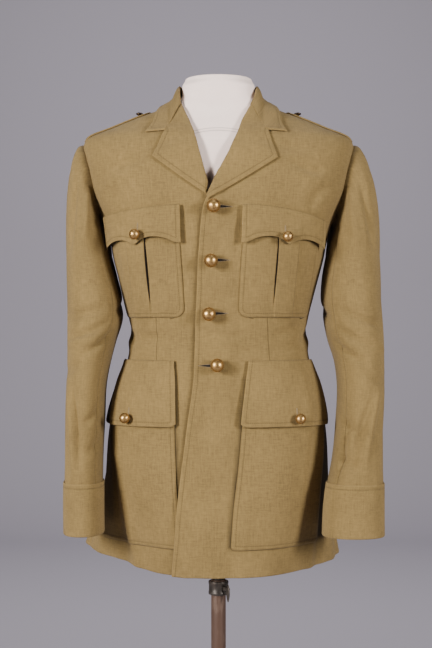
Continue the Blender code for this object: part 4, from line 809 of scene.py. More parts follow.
WAYS = np.r_[0, 0.012, 0.03, 0.06, 0.1, np.linspace(0.14, 1, 22), np.linspace(1.01, 1.995, 92), 1.9975, 2.0]
for side, sign in SIDES.items():
    for name, first, last, count in (("topsleeve_", UNDER_TO, 2 * math.pi + UNDER_FROM, 76),
                                     ("undersleeve_", UNDER_FROM, UNDER_TO, 30)):
        span = between((first + SLEEVE_GAP) * SLEEVE_RADIUS, (last - SLEEVE_GAP) * SLEEVE_RADIUS, count,
                       NEAR[:4])[0] / SLEEVE_RADIUS
        turn, way = np.meshgrid(span, WAYS)
        points = sleeve(side, turn, way)
        whole = sleeve(side, *np.meshgrid(np.linspace(0, 2 * np.pi, 33)[:-1], WAYS))
        out = grid_normals(points, whole.mean(axis=1, keepdims=True))
        from_seam = np.minimum(np.abs(turn - span[0]), np.abs(turn - span[-1])) * SLEEVE_RADIUS
        head = np.clip(way, 0, 1) * 150 * MM
        full = 2.4 * MM * bell(head - 16 * MM, 14 * MM) * ((1 - np.cos(turn)) / 2) ** 2
        pucker = 0.5 * MM * np.sin(turn * 17) * np.exp(-head / (14 * MM)) * ease(head / (4 * MM))
        rise = (sleeve_creases(side, turn, points[..., 2]) * ease(head / (50 * MM)) * ease((2 - way) / 0.12)
                + seamed(from_seam) + seamed(head) * 0.8 + full + pucker)
        grid = points + out * rise[..., None]
        place = np.stack([turn * SLEEVE_RADIUS, points[..., 2]], axis=-1)
        right_way = np.sum(np.cross(grid[1:, :-1] - grid[:-1, :-1], grid[:-1, 1:] - grid[:-1, :-1])
                           * out[:-1, :-1]) < 0
        # Painted shade: the lower sleeve's side towards the body darkened.
        inner_side_shade = 0.4 * bell((turn + 0.25 + np.pi) % (2 * np.pi) - np.pi, 0.95) * ease((way - 0.7) / 0.5)
        woven(name + side, grid, place, flip=not right_way, shade=inner_side_shade)

    cuff_height = np.r_[CUFF_LOW + NEAR / MM, np.linspace(820, 877, 14), CUFF_HIGH - NEAR[::-1] / MM] * MM
    turn, height = np.meshgrid(np.linspace(0, 2 * np.pi, 97)[:-1], cuff_height)
    points = sleeve_section(side, turn, height)
    middle = points.mean(axis=1, keepdims=True)
    out = np.cross(np.roll(points, -1, axis=1) - np.roll(points, 1, axis=1), np.gradient(points, axis=0))
    out = unit(out)
    out *= np.sign(np.sum(out * (points - middle)))
    top_edge, low_edge = CUFF_HIGH * MM - height, height - CUFF_LOW * MM
    rise = (2.4 * MM + turned_edge(top_edge) + turned_edge(low_edge)
            + 0.4 * MM * np.sin(turn * 3 + sign) * np.sin(np.pi * low_edge / (87 * MM)))
    grid = points + out * rise[..., None]
    around = np.linspace(0, 2 * np.pi, 97)[None, :] * SLEEVE_RADIUS + 0 * cuff_height[:, None]
    place = np.stack([around, cuff_height[:, None] + 0 * around], axis=-1)
    woven("cuff_" + side, grid, place, top_edge, flip=sign < 0, wrap=True)

# The lapels: each front's facing turned back over it along the roll line, with a notch at the gorge
# seam under the collar. Pressed flat at the edge, soft in the roll, and stitched round.

LAPELS = {
    "left": {"roll": [(-20.5, 1351), (-15.5, 1362), (-7.5, 1380), (-1.5, 1393), (8, 1410), (16.5, 1426),
                      (23.5, 1443), (31.5, 1461), (38, 1481), (48, 1500), (54.5, 1511)],
             "break": (-18.5, 1346), "tip": (95, 1414.5), "notch": (81, 1459)},
    "right": {"roll": [(-19, 1357), (-17, 1374), (-22, 1393), (-26, 1409), (-31, 1426), (-35, 1443), (-40, 1461),
                       (-48, 1481), (-57, 1501), (-62.5, 1511)],
              "break": (-19, 1354), "tip": (-107, 1417.5), "notch": (-88, 1460)}}


def along_path(points, places):
    """Points at fractions of the length of a line through some points."""
    points = np.array(points, float)
    reach = np.concatenate([[0], np.cumsum(np.linalg.norm(np.diff(points, axis=0), axis=1))])
    return np.stack([np.interp(np.asarray(places) * reach[-1], reach, points[:, k]) for k in (0, 1)], axis=-1)


ROLL_TURNS = np.radians(np.linspace(-78, 60, 7))
for side, sign in SIDES.items():
    shape = LAPELS[side]
    across = np.r_[0.0, 0.03, np.linspace(0.08, 0.9, 26), 0.93, 0.96, 0.98, 0.993, 1]
    up = np.r_[0, 0.008, 0.02, np.linspace(0.04, 0.95, 48), 0.97, 0.985, 0.995, 1]
    roll, edge_line = along_path(shape["roll"], up), along_path([shape["break"], shape["tip"]], up)
    edge_line += np.outer(np.sin(np.pi * up), (0, -0.012)) * np.linalg.norm(edge_line[-1] - edge_line[0])
    gorge = along_path([shape["roll"][-1], shape["notch"], shape["tip"]], across)
    straight = roll[-1] + (edge_line[-1] - roll[-1]) * across[:, None]
    flat = roll[:, None] + (edge_line - roll)[:, None] * across[:, None]
    flat += (gorge - straight) * (up**2.5)[:, None, None]
    arcs, heights = flat[..., 0] * MM, flat[..., 1] * MM
    outline = [np.array(shape["break"]) * MM] + list(edge_line[1:] * MM) + [
        np.array(shape["tip"]) * MM, np.array(shape["notch"]) * MM]
    finished = to_path(outline, arcs, heights)
    gap = (0.8 + 1.4 * ease(across)[None, :] + 1.4 * ease((heights - 1470 * MM) / (30 * MM))) * MM
    crown = 1.5 * MM * arch(across) ** 0.8 * arch(up)[:, None] ** 0.6
    base = lap(arcs, heights) if side == "left" else 0
    lift = base + gap + WALL + crown + turned_edge(finished) + 0.5 * MM
    first_lift, first_height = lift[:, :1], heights[:, :1]
    radius = (first_lift - (base[:, :1] if side == "left" else 0) + 2.0 * MM) / 2
    arcs = arcs + sign * radius * (1 - across) ** 2
    first_arc = arcs[:, :1]
    middle = first_lift - radius
    roll_arcs = first_arc - sign * radius * np.cos(ROLL_TURNS)
    roll_lift = middle + radius * np.sin(ROLL_TURNS)
    arcs = np.concatenate([roll_arcs, arcs], axis=1)
    lift = np.concatenate([roll_lift, lift], axis=1)
    heights = np.concatenate([first_height + 0 * roll_arcs, heights], axis=1)
    edge = np.concatenate([np.full(roll_arcs.shape, FAR), np.where(finished < 0.03, finished, FAR)], axis=1)
    grid = on_cloth(arcs, heights, lift)
    woven("lapel_" + side, grid, np.stack([arcs * sign, heights], axis=-1), edge, flip=sign < 0)

# The collar: a stand round the neck and a fall turned down over it, in one curved piece, with its
# ends stitched to the gorge beside the lapels' notches.

COLLAR = Table("place roll_x roll_y roll_z mid_x mid_y mid_z edge_x edge_y edge_z", [
    (0.00, 0, 60, 1551, 0, 73, 1528, 0, 85, 1492), (0.20, 28, 55, 1551, 35, 67, 1528, 44, 80, 1491),
    (0.40, 50, 37, 1550.5, 61, 47, 1529, 80, 62, 1498), (0.58, 61.5, 13, 1550, 73, 19, 1533, 96, 27, 1512),
    (0.72, 63, -11, 1547, 75, -13, 1527, 97, -14, 1510), (0.86, 62.5, -31, 1536, 78.5, -43, 1507, 103, -50, 1487),
    (0.94, 60.5, -43, 1523, 80, -62, 1483, 108, -66, 1471),
    (1.00, 56.5, -50.5, 1511, 82, -80, 1461, 115.5, -77, 1458.5)])
COLLAR_SHIFT, COLLAR_WALL, COLLAR_FOLD, COLLAR_CROWN, COLLAR_GAP = -4.5 * MM, 2.0 * MM, 2.6 * MM, 1.2 * MM, 2.2 * MM


def out_of_block(points):
    """How far points lie outside the block, near enough, from the superellipse's own scale there."""
    height = points[..., 2]
    at = BLOCK.at(height / MM)
    wide, deep = at["half_width"] * MM, np.where(points[..., 1] < 0, at["front"], at["back"]) * MM
    scale = (np.abs(points[..., 0] / wide) ** at["square"] + np.abs(points[..., 1] / deep) ** at["square"])
    scale = scale ** (1 / at["square"])
    normal = outward(np.arctan2(points[..., 0] / wide, -points[..., 1] / deep), height)
    reach = np.linalg.norm(points[..., :2], axis=-1)
    return (1 - 1 / scale) * reach * np.linalg.norm(normal[..., :2], axis=-1), normal


def collar_side(sign, places):
    """Foot, roll and fall: a line up the stand, a half circle over the roll, and two lines down."""
    spot = {}
    for part in ("roll", "mid", "edge"):
        spot[part] = np.stack([COLLAR.read(part + axis, places) * MM for axis in ("_x", "_y", "_z")], axis=1)
        spot[part][:, 0] = spot[part][:, 0] * sign * (places > 0) + COLLAR_SHIFT * places**6
    turns = np.arctan2(spot["roll"][:, 0] / (78 * MM), -spot["roll"][:, 1] / (60 * MM))
    turns[0] = math.pi * sign
    level = np.full(turns.shape, NECKLINE)
    flat = unit(outward(turns, level) * np.array([1, 1, 0]))
    foot = block(turns, level) - flat * COLLAR_WALL + np.array([0, 0, 0.6 * MM])
    away = unit((spot["mid"] - spot["roll"]) * np.array([1, 1, 0]))
    up = np.array([0, 0, 1.0])
    front = ease((places - 0.78) / 0.2)[:, None]
    foot = foot * (1 - front) + (spot["roll"] - up * (COLLAR_FOLD + 2.5 * MM)) * front
    rows = [foot + (spot["roll"] - up * COLLAR_FOLD - foot) * t for t in np.linspace(0, 1, 9)[:-1]]
    for turn in np.radians(np.linspace(0, 125, 12)):
        rows.append(spot["roll"] + away * COLLAR_FOLD * (1 - math.cos(turn)) + up * COLLAR_FOLD * (math.sin(turn) - 1))
    start = rows[-1]
    for t in np.linspace(0, 1, 11)[1:]:
        rows.append(start + (spot["mid"] - start) * t + (away + up) * COLLAR_CROWN * math.sin(math.pi * t))
    for t in np.r_[np.linspace(0, 0.72, 10)[1:], 0.8, 0.86, 0.91, 0.955, 0.985, 1]:
        rows.append(spot["mid"] + (spot["edge"] - spot["mid"]) * t)
    return np.array(rows)


half_places = np.r_[np.linspace(0, 0.9, 58), np.linspace(0.91, 0.975, 8), 0.983, 0.99, 0.995, 1]
right, left = collar_side(-1, half_places), collar_side(1, half_places)
collar = np.concatenate([right[:, :0:-1], left], axis=1)
FALL_FROM = 20
for smoothing in range(3):
    collar[FALL_FROM - 2:-1, 1:-1] = (collar[FALL_FROM - 2:-1, 1:-1] * 2 + collar[FALL_FROM - 3:-2, 1:-1]
                                      + collar[FALL_FROM - 1:, 1:-1]) / 4
for lifting in range(4):
    outside, normal = out_of_block(collar[FALL_FROM - 6:])
    need = COLLAR_WALL + COLLAR_GAP + 0.5 * MM - outside
    below = 1 - ease((collar[FALL_FROM - 6:, :, 2] - 1516 * MM) / (9 * MM))
    collar[FALL_FROM - 6:] += normal * (np.maximum(0, need) * below)[..., None]
down = np.cumsum(np.linalg.norm(np.diff(collar, axis=0, prepend=collar[:1]), axis=-1), axis=0)
round_it = np.cumsum(np.linalg.norm(np.diff(collar, axis=1, prepend=collar[:, :1]), axis=-1), axis=1)
from_edge = down[-1] - down
from_end = np.minimum(round_it, round_it[:, -1:] - round_it)
on_fall = np.arange(len(collar))[:, None] > FALL_FROM
from_end = np.where(np.arange(len(collar))[:, None] >= FALL_FROM + 10, from_end, FAR)
edge = np.where(on_fall, np.minimum(from_edge, from_end), FAR)
normal = unit(np.cross(np.gradient(collar, axis=1), np.gradient(collar, axis=0)))
if normal[-1, collar.shape[1] // 2, 1] < 0:
    normal = -normal
collar += normal * (np.where(on_fall, turned_edge(edge), 0))[..., None]
woven("collar", collar, np.stack([round_it, down], axis=-1), edge, wall=COLLAR_WALL)

# Four patch pockets with flaps. The chest ones have rounded corners, a box pleat and a flap that
# comes to a point; the lower ones are larger, stand off the skirt and have straight flaps.

PLEAT_FROM, PLEAT_TO = 0.41, 0.665
SLIT = {"left": 1.2 * MM, "right": 1.8 * MM}
PLEAT_RISE = 1.8 * MM
CHEST_POCKET, LOWER_POCKET = (1157 * MM, 1333 * MM), (785 * MM, 1082 * MM)
CORNER = {"chest_": 15 * MM, "lower_": 7 * MM}


def slit_way(up):
    """The pleat's front fold gapes between these heights: a sine there and nothing elsewhere."""
    return arch((up - 0.12) / 0.68)


def slope(kind, side, across):
    """How far a chest flap's seam falls towards the armhole, a power of the way across."""
    if kind == "lower_":
        return 0 * across
    fall, power = (21 * MM, 1.85) if side == "left" else (13 * MM, 1.35)
    return fall * np.clip(across, 0, 1) ** power


def pocket_rise(kind, across, up):
    """The pleat's step and gaping fold on a chest pocket; the bellows' sine product on a lower one."""
    if kind == "chest_":
        fold = ease((across - PLEAT_FROM) / 0.012) * ease((PLEAT_TO + 0.01 - across) / 0.016)
        slit = 2.6 * MM * bell(across - PLEAT_FROM, 0.0075) * slit_way(up) ** 0.5
        sag = 1.6 * MM * arch(across) * arch(up)
        sunk = 2.6 * MM * np.exp(-((across - 0.88) / 0.07) ** 2 - ((up - 0.5) / 0.12) ** 2)
        return PLEAT_RISE * fold - slit + sag - sunk
    full = np.sin(np.pi * np.clip(across, 0, 1)**0.8) ** 1.2 * np.sin(np.pi * np.clip(up, 0, 1)**0.8) ** 0.8
    ridge = 1.6 * MM * bell(across - 0.63, 0.05) - 1.5 * MM * bell(across - 0.74, 0.05)
    return 5 * MM * np.nan_to_num(full) + ridge * arch(up) ** 0.6


def pocket_spot(side, across, height):
    """A pocket's arc at a fraction of its width and a height."""
    start, end = line("pocket_front", height), line("pocket_rear", height)
    return line("centre", height) + SIDES[side] * (start + (end - start) * across)


def pocket_base(side, arc, height):
    """How far the front under the pocket stands out."""
    return lap(arc, height) if side == "left" else 0 * arc


CHEST_FLAP = Table("across drop", [(0, 61), (0.05, 60), (0.14, 54), (0.26, 50.5), (0.36, 51), (0.44, 55), (0.515, 61.5),
                       (0.59, 57), (0.68, 54), (0.8, 55), (0.9, 59), (0.96, 63), (1, 67)])
LOWER_FLAP = Table("across drop", [(0, 107), (0.5, 107), (1, 107)])
FLAPS = {"chest_": (1338 * MM, CHEST_FLAP), "lower_": (1087 * MM, LOWER_FLAP)}


def flap_drop(kind, side, across):
    """How far a flap hangs at a fraction of its width, from its own smooth row of drops less the seam's fall."""
    drop = FLAPS[kind][1].read("drop", across) * MM - slope(kind, side, across)
    if kind == "lower_":
        end = np.minimum(across, 1 - across)
        drop -= 5 * MM * np.exp(-(end / 0.02) ** 1.5)
    return drop


for side, sign in SIDES.items():
    for kind, (low, high) in (("chest_", CHEST_POCKET), ("lower_", LOWER_POCKET)):
        heights = np.r_[low + NEAR, np.linspace(low + 15 * MM, high - 4 * MM, 44), high]
        bottom = heights - low
        corner = CORNER[kind]
        drawn = np.where(bottom < corner, corner - np.sqrt(np.maximum(0, corner**2 - (corner - bottom)**2)), 0)
        width = line("pocket_rear", heights) - line("pocket_front", heights)
        first, last = drawn, width - drawn
        if kind == "chest_":
            by_fold = np.array([-25, -16, -12, -9, -6, -3.5, -1.5, 0, 1.5, 3.5, 6, 9, 12, 16, 25, 45]) / 1000
            marks = np.r_[np.linspace(0.06, 0.37, 10), 0.41 + by_fold, np.linspace(0.48, 0.64, 8),
                          0.652, 0.659, 0.665, 0.671, 0.677, 0.685, 0.7, 0.73, np.linspace(0.76, 0.93, 8)]
        else:
            marks = np.linspace(0.08, 0.92, 36)
        near = NEAR[:7]
        inner = first[:, None] + near
        outer = last[:, None] - near[::-1]
        middle = np.clip(marks * width[:, None], inner[:, -1:] + 0.2 * MM, outer[:, :1] - 0.2 * MM)
        run = np.concatenate([inner, middle, outer], axis=1)
        levels = heights[:, None] + 0 * run
        across = run / width[:, None]
        levels -= slope(kind, side, across) * (levels - low) / (high - low)
        arcs = pocket_spot(side, across, levels)
        half = width[:, None] / 2
        q_x = np.abs(run - half) - half + corner
        q_y = (low + corner) - levels
        edge = corner - np.where((q_x > 0) & (q_y > 0), np.hypot(q_x, q_y), np.maximum(q_x, q_y))
        lift = (pocket_base(side, arcs, levels) + 0.35 * MM + WALL + 0.4 * MM
                + pocket_rise(kind, across, (levels - low) / (high - low)) + turned_edge(edge))
        lift -= 0.9 * MM * bell(edge, 2.2 * MM)
        grid = on_cloth(arcs, levels, lift)
        # Painted shade: a dark line round each pocket's edge, and on the chest pockets under the flap, in the sunk
        # hollow under its outer end and along the pleat's rear fold; the pleat's slit is painted near black.
        slit, shade = 9, 0.5 * bell(edge, 1.2 * MM)
        if kind == "chest_":
            up = (levels - low) / (high - low)
            gape = SLIT[side] * slit_way(up) ** 0.7 + 0.02 * MM
            slit = np.minimum(9, np.abs(across - PLEAT_FROM) * width[:, None] / gape)
            under = levels - (FLAPS[kind][0] - slope(kind, side, across) - flap_drop(kind, side, across))
            shade = np.maximum(shade, 0.75 * bell(across - 0.88, 0.07) * ease((under + 9 * MM) / (7 * MM)))
            shade = np.maximum(shade, 0.5 * ease((under + 3.5 * MM) / (3 * MM)))
            shade = np.maximum(shade, 0.3 * bell(across - PLEAT_TO, 0.008))
        woven(kind + "pocket_" + side, grid, np.stack([arcs * sign, levels], axis=-1), edge, flip=sign < 0,
              slit=slit, shade=shade)


def flap_lift(kind, side, arc, height, across, down):
    """How far a flap's outer face stands off the block: over the pocket, and out towards its edge."""
    low, high = CHEST_POCKET if kind == "chest_" else LOWER_POCKET
    up = np.clip((height - low) / (high - low), 0, 1)
    stand = (0.9 + 3.6 * ease(down)) * MM
    under = np.maximum(pocket_rise(kind, across, up), PLEAT_RISE if kind == "chest_" else 0)
    return pocket_base(side, arc, height) + 0.35 * MM + 2 * WALL + under + stand + 0.5 * MM


for side, sign in SIDES.items():
    for kind in FLAPS:
        top = FLAPS[kind][0]
        at_end = np.array([0, 0.006, 0.014, 0.027, 0.042, 0.055, 0.068])
        span = np.r_[at_end, np.linspace(0.09, 0.91, 54), 1 - at_end[::-1]]
        way = np.r_[0, 0.012, 0.03, 0.06, np.linspace(0.1, 0.82, 20), 0.86, 0.885, 0.91, 0.945, 0.97, 0.986, 1]
        across, down = np.meshgrid(span, way)
        drop = flap_drop(kind, side, across)
        heights = top - slope(kind, side, across) - down * drop
        overhang = 3 * MM * np.clip(2 * across - 1, -1, 1) ** 9
        arcs = pocket_spot(side, across, heights) + sign * overhang
        sides = [(arcs[0, 0], heights[0, 0]), *zip(arcs[-1], heights[-1]), (arcs[0, -1], heights[0, -1])]
        edge = to_path(sides, arcs, heights)
        curl = 1.7 * MM * bell(across - 0.98, 0.07) * ease(down) + 1.0 * MM * bell(across - 0.02, 0.05) * ease(down)
        wave = 0.8 * MM * np.sin(across * 11 + sign) * ease(down)
        bend = curl + wave if kind == "chest_" else 0.5 * curl + 0.6 * wave
        lift = (flap_lift(kind, side, arcs, heights, across, down) + turned_edge(edge) + bend
                - 1.1 * MM * bell(down * drop, 2 * MM))
        if side == "right":
            lift -= 2.2 * MM * bell(across, 0.05) * ease(down)
        grid = on_cloth(arcs, heights, lift)
        # Painted shade along the flap's seam where it turns down.
        seam = 0.4 * bell(down * drop, 1.2 * MM)
        woven(kind + "flap_" + side, grid, np.stack([arcs * sign, heights], axis=-1), edge, flip=sign > 0, shade=seam)

# The shoulder straps: doubled wool, stitched round, set into the sleeve seam and buttoned beside the
# collar over a rounded end.

STRAP = Table("height half", [(1459, 23), (1465, 22.5), (1473, 21.5), (1482, 20.5), (1490, 19.5), (1498, 17)])
STRAP_TURN = math.radians(90)
STRAP_LOW, STRAP_HIGH = 1453.5, 1502.5
for side, sign in SIDES.items():
    way = np.r_[np.linspace(0, 0.86, 40), np.linspace(0.88, 0.995, 16), 1.0]
    height = (STRAP_LOW + (STRAP_HIGH - STRAP_LOW) * way) * MM
    half = STRAP.read("half", height / MM) * MM
    tip = np.clip((height - 1493.5 * MM) / (9.1 * MM), 0, 1)
    half = half * np.sqrt(np.maximum(0.004, 1 - tip**2.2))
    over = np.r_[0, 0.03, 0.08, 0.14, np.linspace(0.2, 0.8, 14), 0.86, 0.92, 0.97, 1]
    seam = arc_at(np.full(height.shape, sign * STRAP_TURN), height)
    arcs = seam[:, None] + half[:, None] * (2 * over - 1)
    levels = height[:, None] + 0 * arcs
    spots = on_cloth(arcs, levels, 0)
    length = np.cumsum(np.linalg.norm(np.diff(spots, axis=0, prepend=spots[:1]), axis=-1), axis=0)
    wide = (2 * over - 1) * half[:, None]
    end = length[-1:, over.size // 2] - length
    edge = np.minimum(half[:, None] - np.abs(wide), np.maximum(end, 0))
    lift = 2.9 * MM + turned_edge(edge) * 1.6 + 0.4 * MM * (1 - (2 * over - 1) ** 2)
    lift -= 1.9 * MM * (1 - ease((levels - STRAP_LOW * MM) / (9 * MM)))
    grid = on_cloth(arcs, levels, lift)
    woven("strap_" + side, grid, np.stack([wide, length], axis=-1), edge, wall=2.4 * MM)

# Brass ball buttons: four down the front, one on each pocket flap, pressed hollow and worn bright,
# and a small darkened one on each strap. Each stands on its shank in a worked buttonhole.

brass = Finish("worn_brass", (0.50, 0.30, 0.125), 0.4, 1.0)
dull = brass.noise((260, 260, 260), 4)
scuff = brass.noise((1400, 900, 1400), 3)
tarnish = (dull - 0.52).maths("MULTIPLY", dull - 0.46, 4.5, clamp=True)
BRASS = brass.paint(brass.tint((0.52, 0.33, 0.125, 1), (0.20, 0.105, 0.04, 1), tarnish),
                    (dull - 0.5) * 0.5 + (scuff - 0.5) * 0.25 + 0.41, dull + scuff * 0.4, 0.00012, 0.5)
dark = Finish("darkened_brass", (0.055, 0.038, 0.024), 0.4, 1.0)
spots = dark.noise((500, 500, 500), 3)
DARK_BRASS = dark.paint(dark.tint((0.04, 0.028, 0.02, 1), (0.16, 0.10, 0.05, 1), (spots - 0.45) * 2.2),
                        (spots - 0.5) * 0.4 + 0.4, spots, 0.0001, 0.4)
thread = Finish("buttonhole_thread", (0.22, 0.155, 0.07), 0.85, Sheen_Weight=0.2)
strands = thread.noise((2600, 2600, 2600), 2)
THREAD = thread.paint(thread.tint((0.13, 0.09, 0.04, 1), (0.30, 0.21, 0.10, 1), strands), None, strands, 0.0003, 0.8)
# Painted shade: the buttonhole's slot, a near-black sheet where the slit lies in shadow.
SLOT_SHADE = Finish("buttonhole_slit", (0.012, 0.008, 0.005), 0.95).made


def frame_at(arc, height, lift):
    """A place on the cloth with the block's normal there."""
    arc, height = np.array([float(arc)]), np.array([float(height)])
    turn = turn_at(arc, height)
    return on_cloth(arc, height, lift)[0], outward(turn, height)[0]


def ball_profile(radius, shank, flat=1.0, neck=1.6):
    """A shank's foot and neck, a round shoulder, then a circle from the shank to the crown, in mm."""
    start = math.asin(shank / radius)
    turns = np.linspace(start, math.pi - 0.02, 26)
    rows = [(shank + 0.7, 0), (shank, 0.3 * neck), (shank, neck)]
    rows += [(radius * math.sin(t), neck + flat * radius * (math.cos(start) - math.cos(t))) for t in turns[1:]]
    return rows


def ball(node, arc, height, lift, radius, finish, slot, flat=1.0, shank=3.2, neck=1.6):
    """A ball button, its profile turned about the cloth's normal."""
    spot, axis = frame_at(arc, height, lift)
    mesh_object(node, *lathe(ball_profile(radius, shank, flat, neck), 40, spot, axis), finish, "figure", slot, 60)


def buttonhole(name, arc, height, lift_of, length, width, upright=False, point=0):
    """A worked slit: a flattened ring of thread r(t) round a slot painted dark as shade, drawn to a point at one end
    when buttoned.
    """
    t, s = np.meshgrid(np.linspace(0, 2 * np.pi, 73)[:-1], np.linspace(0, 2 * np.pi, 11)[:-1])
    long_half, wide_half = length / 2, width / 2

    def narrow(u):
        """The slot's share of its half width, less towards its pointed end."""
        return 1 - 0.44 * abs(point) * (1 + point * np.clip(u / long_half, -1, 1))

    bead = (0.45 if point else 0.6) * MM * (1 + 0.10 * np.sin(t * 30))
    u = (long_half + bead * np.cos(s)) * signed(np.cos(t), 0.75)
    v = (wide_half * narrow(u) + bead * np.cos(s)) * signed(np.sin(t), 0.75)
    up = bead * 0.75 * np.sin(s)
    if upright:
        u, v = v, u
    grid = on_cloth(arc + u, height + v, lift_of(arc + u, height + v) + up + 0.1 * MM)
    outwards = -1 if upright else 1
    quads = [quad[::outwards] for quad in faces(*t.shape, True, True)]
    mesh_object(name, grid, quads, THREAD, "figure", "wool", 70, replaces=False)
    r, t = np.meshgrid(np.array([0.04, 0.4, 0.75, 1.0]), np.linspace(0, 2 * np.pi, 33)[:-1], indexing="ij")
    u = r * long_half * signed(np.cos(t), 0.75)
    v = r * wide_half * narrow(u) * signed(np.sin(t), 0.75)
    if upright:
        u, v = v, u
    slot = on_cloth(arc + u, height + v, lift_of(arc + u, height + v) + 0.12 * MM)
    quads = [quad[::-outwards] for quad in faces(*t.shape, False, True) + [list(range(t.shape[1]))]]
    mesh_object(name + "_slit", slot, quads, SLOT_SHADE, "figure", "wool", 70, replaces=False)


# Each front button's offset from the centre line and its height, in millimetres.
FRONT_BUTTONS = ((4, 1334), (0, 1249), (-3, 1164), (10, 1079))
for number, (offset, height) in enumerate(FRONT_BUTTONS, 1):
    arc = float(line("centre", height * MM)) + offset * MM
    ball("front_button_%d" % number, arc, height * MM, float(lap(np.array(arc), np.array(height * MM))) + 0.3 * MM,
         11, BRASS, "brass")
    point = -1 if number == 4 else 1
    buttonhole("front_buttonhole_%d" % number, arc + point * 17 * MM, height * MM, lap, 27 * MM, 7.0 * MM, point=point)

CHEST_HEIGHTS = {"left": 1288 * MM, "right": 1293 * MM}
STRAP_BUTTON = 1.496
for side, sign in SIDES.items():
    for kind, height, across in (("chest_", CHEST_HEIGHTS[side], 0.465),
                                 ("lower_", 992 * MM, 0.49 if side == "left" else 0.42)):
        top = FLAPS[kind][0]
        arc = float(pocket_spot(side, across, height))

        def flap_face(at_arc, at_height, kind=kind, side=side, sign=sign, top=top):
            """The flap's lift under a place given by arc and height."""
            start, end = line("pocket_front", at_height), line("pocket_rear", at_height)
            place = np.clip((sign * (at_arc - line("centre", at_height)) - start) / (end - start), 0, 1)
            down = np.clip((top - slope(kind, side, place) - at_height) / flap_drop(kind, side, place), 0, 1)
            wave = 0.8 * MM * np.sin(place * 11 + sign) * ease(down) * (1 if kind == "chest_" else 0.6)
            return flap_lift(kind, side, at_arc, at_height, place, down) + wave

        lift = float(flap_face(np.array(arc), np.array(height)))
        ball(kind + "button_" + side, arc, height, lift + 0.2 * MM, 8.5, BRASS, "brass")
        buttonhole(kind + "buttonhole_" + side, arc, height + 10 * MM, flap_face, 14 * MM, 1.3 * MM, upright=True)
    strap_arc = float(arc_at(np.array(sign * STRAP_TURN), np.array(STRAP_BUTTON)))
    ball("strap_button_" + side, strap_arc, STRAP_BUTTON, 3.4 * MM, 6.25, DARK_BRASS, "dark_brass", 0.48, neck=0.5)

# Every cloth piece is listed with its cut size: width by length in metres, and the area of the
# shape cut from that rectangle. The left and right pieces differ by a few millimetres.

SHEETS = [
    ("front_", "draped", ["form"], (0.407, 0.957, 0.2364), (0.313, 0.939, 0.2029)),
    ("back_", "draped", ["form"], (0.269, 0.965, 0.1739), (0.278, 0.947, 0.1735)),
    ("topsleeve_", "hung", ["front_", "back_"], (0.311, 0.673, 0.1490), (0.311, 0.663, 0.1393)),
    ("undersleeve_", "hung", ["front_", "back_"], (0.139, 0.578, 0.0609), (0.137, 0.568, 0.0616)),
    ("cuff_", "laid", ["topsleeve_", "undersleeve_"], (0.316, 0.087, 0.0266), (0.302, 0.085, 0.0248)),
    ("lapel_", "folded", ["front_"], (0.130, 0.195, 0.0097), (0.129, 0.185, 0.0088)),
    ("collar", "folded", ["front_left", "front_right", "back_left", "back_right"], (0.513, 0.119, 0.0348)),
    ("chest_pocket_", "laid", ["front_"], (0.152, 0.187, 0.0254), (0.153, 0.187, 0.0259)),
    ("lower_pocket_", "laid", ["front_"], (0.196, 0.307, 0.0553), (0.195, 0.308, 0.0556)),
    ("chest_flap_", "laid", ["chest_pocket_"], (0.168, 0.063, 0.0077), (0.171, 0.062, 0.0081)),
    ("lower_flap_", "laid", ["lower_pocket_"], (0.203, 0.113, 0.0195), (0.206, 0.113, 0.0197)),
    ("strap_", "laid", ["front_", "back_"], (0.048, 0.128, 0.0051), (0.048, 0.128, 0.0051))]


def of_side(name, side):
    """A piece's object name: a name that ends in an underscore takes the side."""
    return (name + side if name.endswith("_") else name) + "_look"


for kind, held, below, *cuts in SHEETS:
    for side, (width, length, area) in zip(SIDES, cuts):
        bpy.data.objects[of_side(kind, side)]
        [of_side(name, side) for name in below]

# The setting: a pale grey floor that curves up into the backdrop, a large soft light on each side of
# the camera, a weak one from above, and the camera level with the wearer's waist.

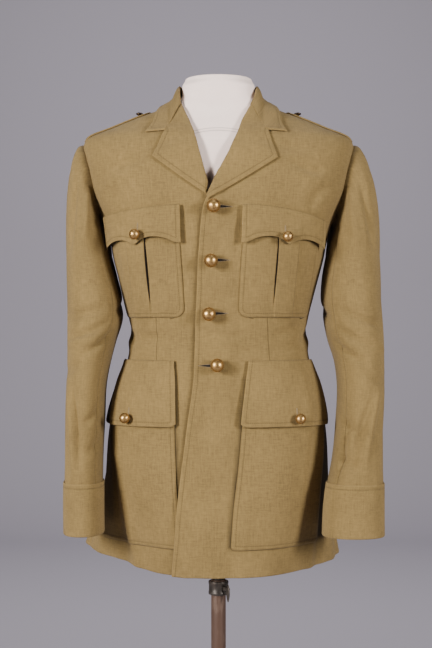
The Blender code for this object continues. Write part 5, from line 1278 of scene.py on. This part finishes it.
curve, CURVE_RADIUS = np.linspace(0.08, math.pi / 2, 20), 1.6
floor_y = np.r_[np.linspace(-8, 4.4, 12), 4.4 + CURVE_RADIUS * np.sin(curve), np.full(6, 6.0)]
floor_y, floor_x = np.meshgrid(floor_y, np.linspace(-9, 9, 12), indexing="ij")
rise = np.r_[np.zeros(12), CURVE_RADIUS * (1 - np.cos(curve)), np.linspace(1.9, 6.5, 6)]
floor_points = np.stack([floor_x, floor_y, rise[:, None] + 0 * floor_x], axis=-1)
mesh = bpy.data.meshes.new("studio_floor")
mesh.from_pydata(floor_points.reshape(-1, 3).tolist(), [], faces(*floor_x.shape))
mesh.shade_smooth()
mesh.materials.append(Finish("studio_paper", (0.325, 0.305, 0.34), 0.95).made)
studio_floor = bpy.data.objects.new("studio_floor", mesh)
bpy.context.scene.collection.objects.link(studio_floor)


def soft_light(name, place, towards, size, power, colour):
    """An area light at a place, turned towards a point."""
    lamp = bpy.data.lights.new(name, "AREA")
    lamp.shape, lamp.size, lamp.size_y, lamp.energy, lamp.color = "RECTANGLE", size[0], size[1], power, colour
    made = bpy.data.objects.new(name, lamp)
    bpy.context.scene.collection.objects.link(made)
    made.location = place
    way = np.array(towards) - np.array(place)
    yaw = math.atan2(way[1], way[0]) - math.pi / 2
    pitch = math.atan2(way[2], math.hypot(way[0], way[1])) + math.pi / 2
    made.rotation_euler = (pitch, 0, yaw)
    return made


lights = [soft_light("left_window", (-2.3, -2.2, 1.75), (0, 0, 1.15), (0.6, 1.0), 206, (1.0, 0.965, 0.935)),
          soft_light("right_window", (2.4, -2.0, 1.7), (0, 0, 1.15), (0.6, 1.0), 126, (1.0, 0.965, 0.94)),
          soft_light("overhead", (0, -0.4, 3.3), (0, 0.1, 1.2), (1.6, 1.6), 10, (0.97, 0.98, 1.0)),
          soft_light("backdrop_light", (0, 2.0, 3.2), (0, 6.0, 0.9), (3.2, 0.8), 140, (0.97, 0.955, 1.0))]
world = bpy.data.worlds.new("studio")
bpy.context.scene.world = world
world.use_nodes = True
world.node_tree.nodes["Background"].inputs[0].default_value = (0.80, 0.79, 0.86, 1)
world.node_tree.nodes["Background"].inputs[1].default_value = 0.022

# The camera's focal length is 1239 of the photo's pixels, over its 648 rows.
lens = bpy.data.cameras.new("photo_view")
lens.sensor_width, lens.lens = 36, 1239 / 648 * 36
camera = bpy.data.objects.new("photo_view", lens)
bpy.context.scene.collection.objects.link(camera)
camera.location = (-0.00424, -2.1, 1.1465)
camera.rotation_euler = (math.pi / 2, 0, 0)
bpy.context.scene.camera = camera
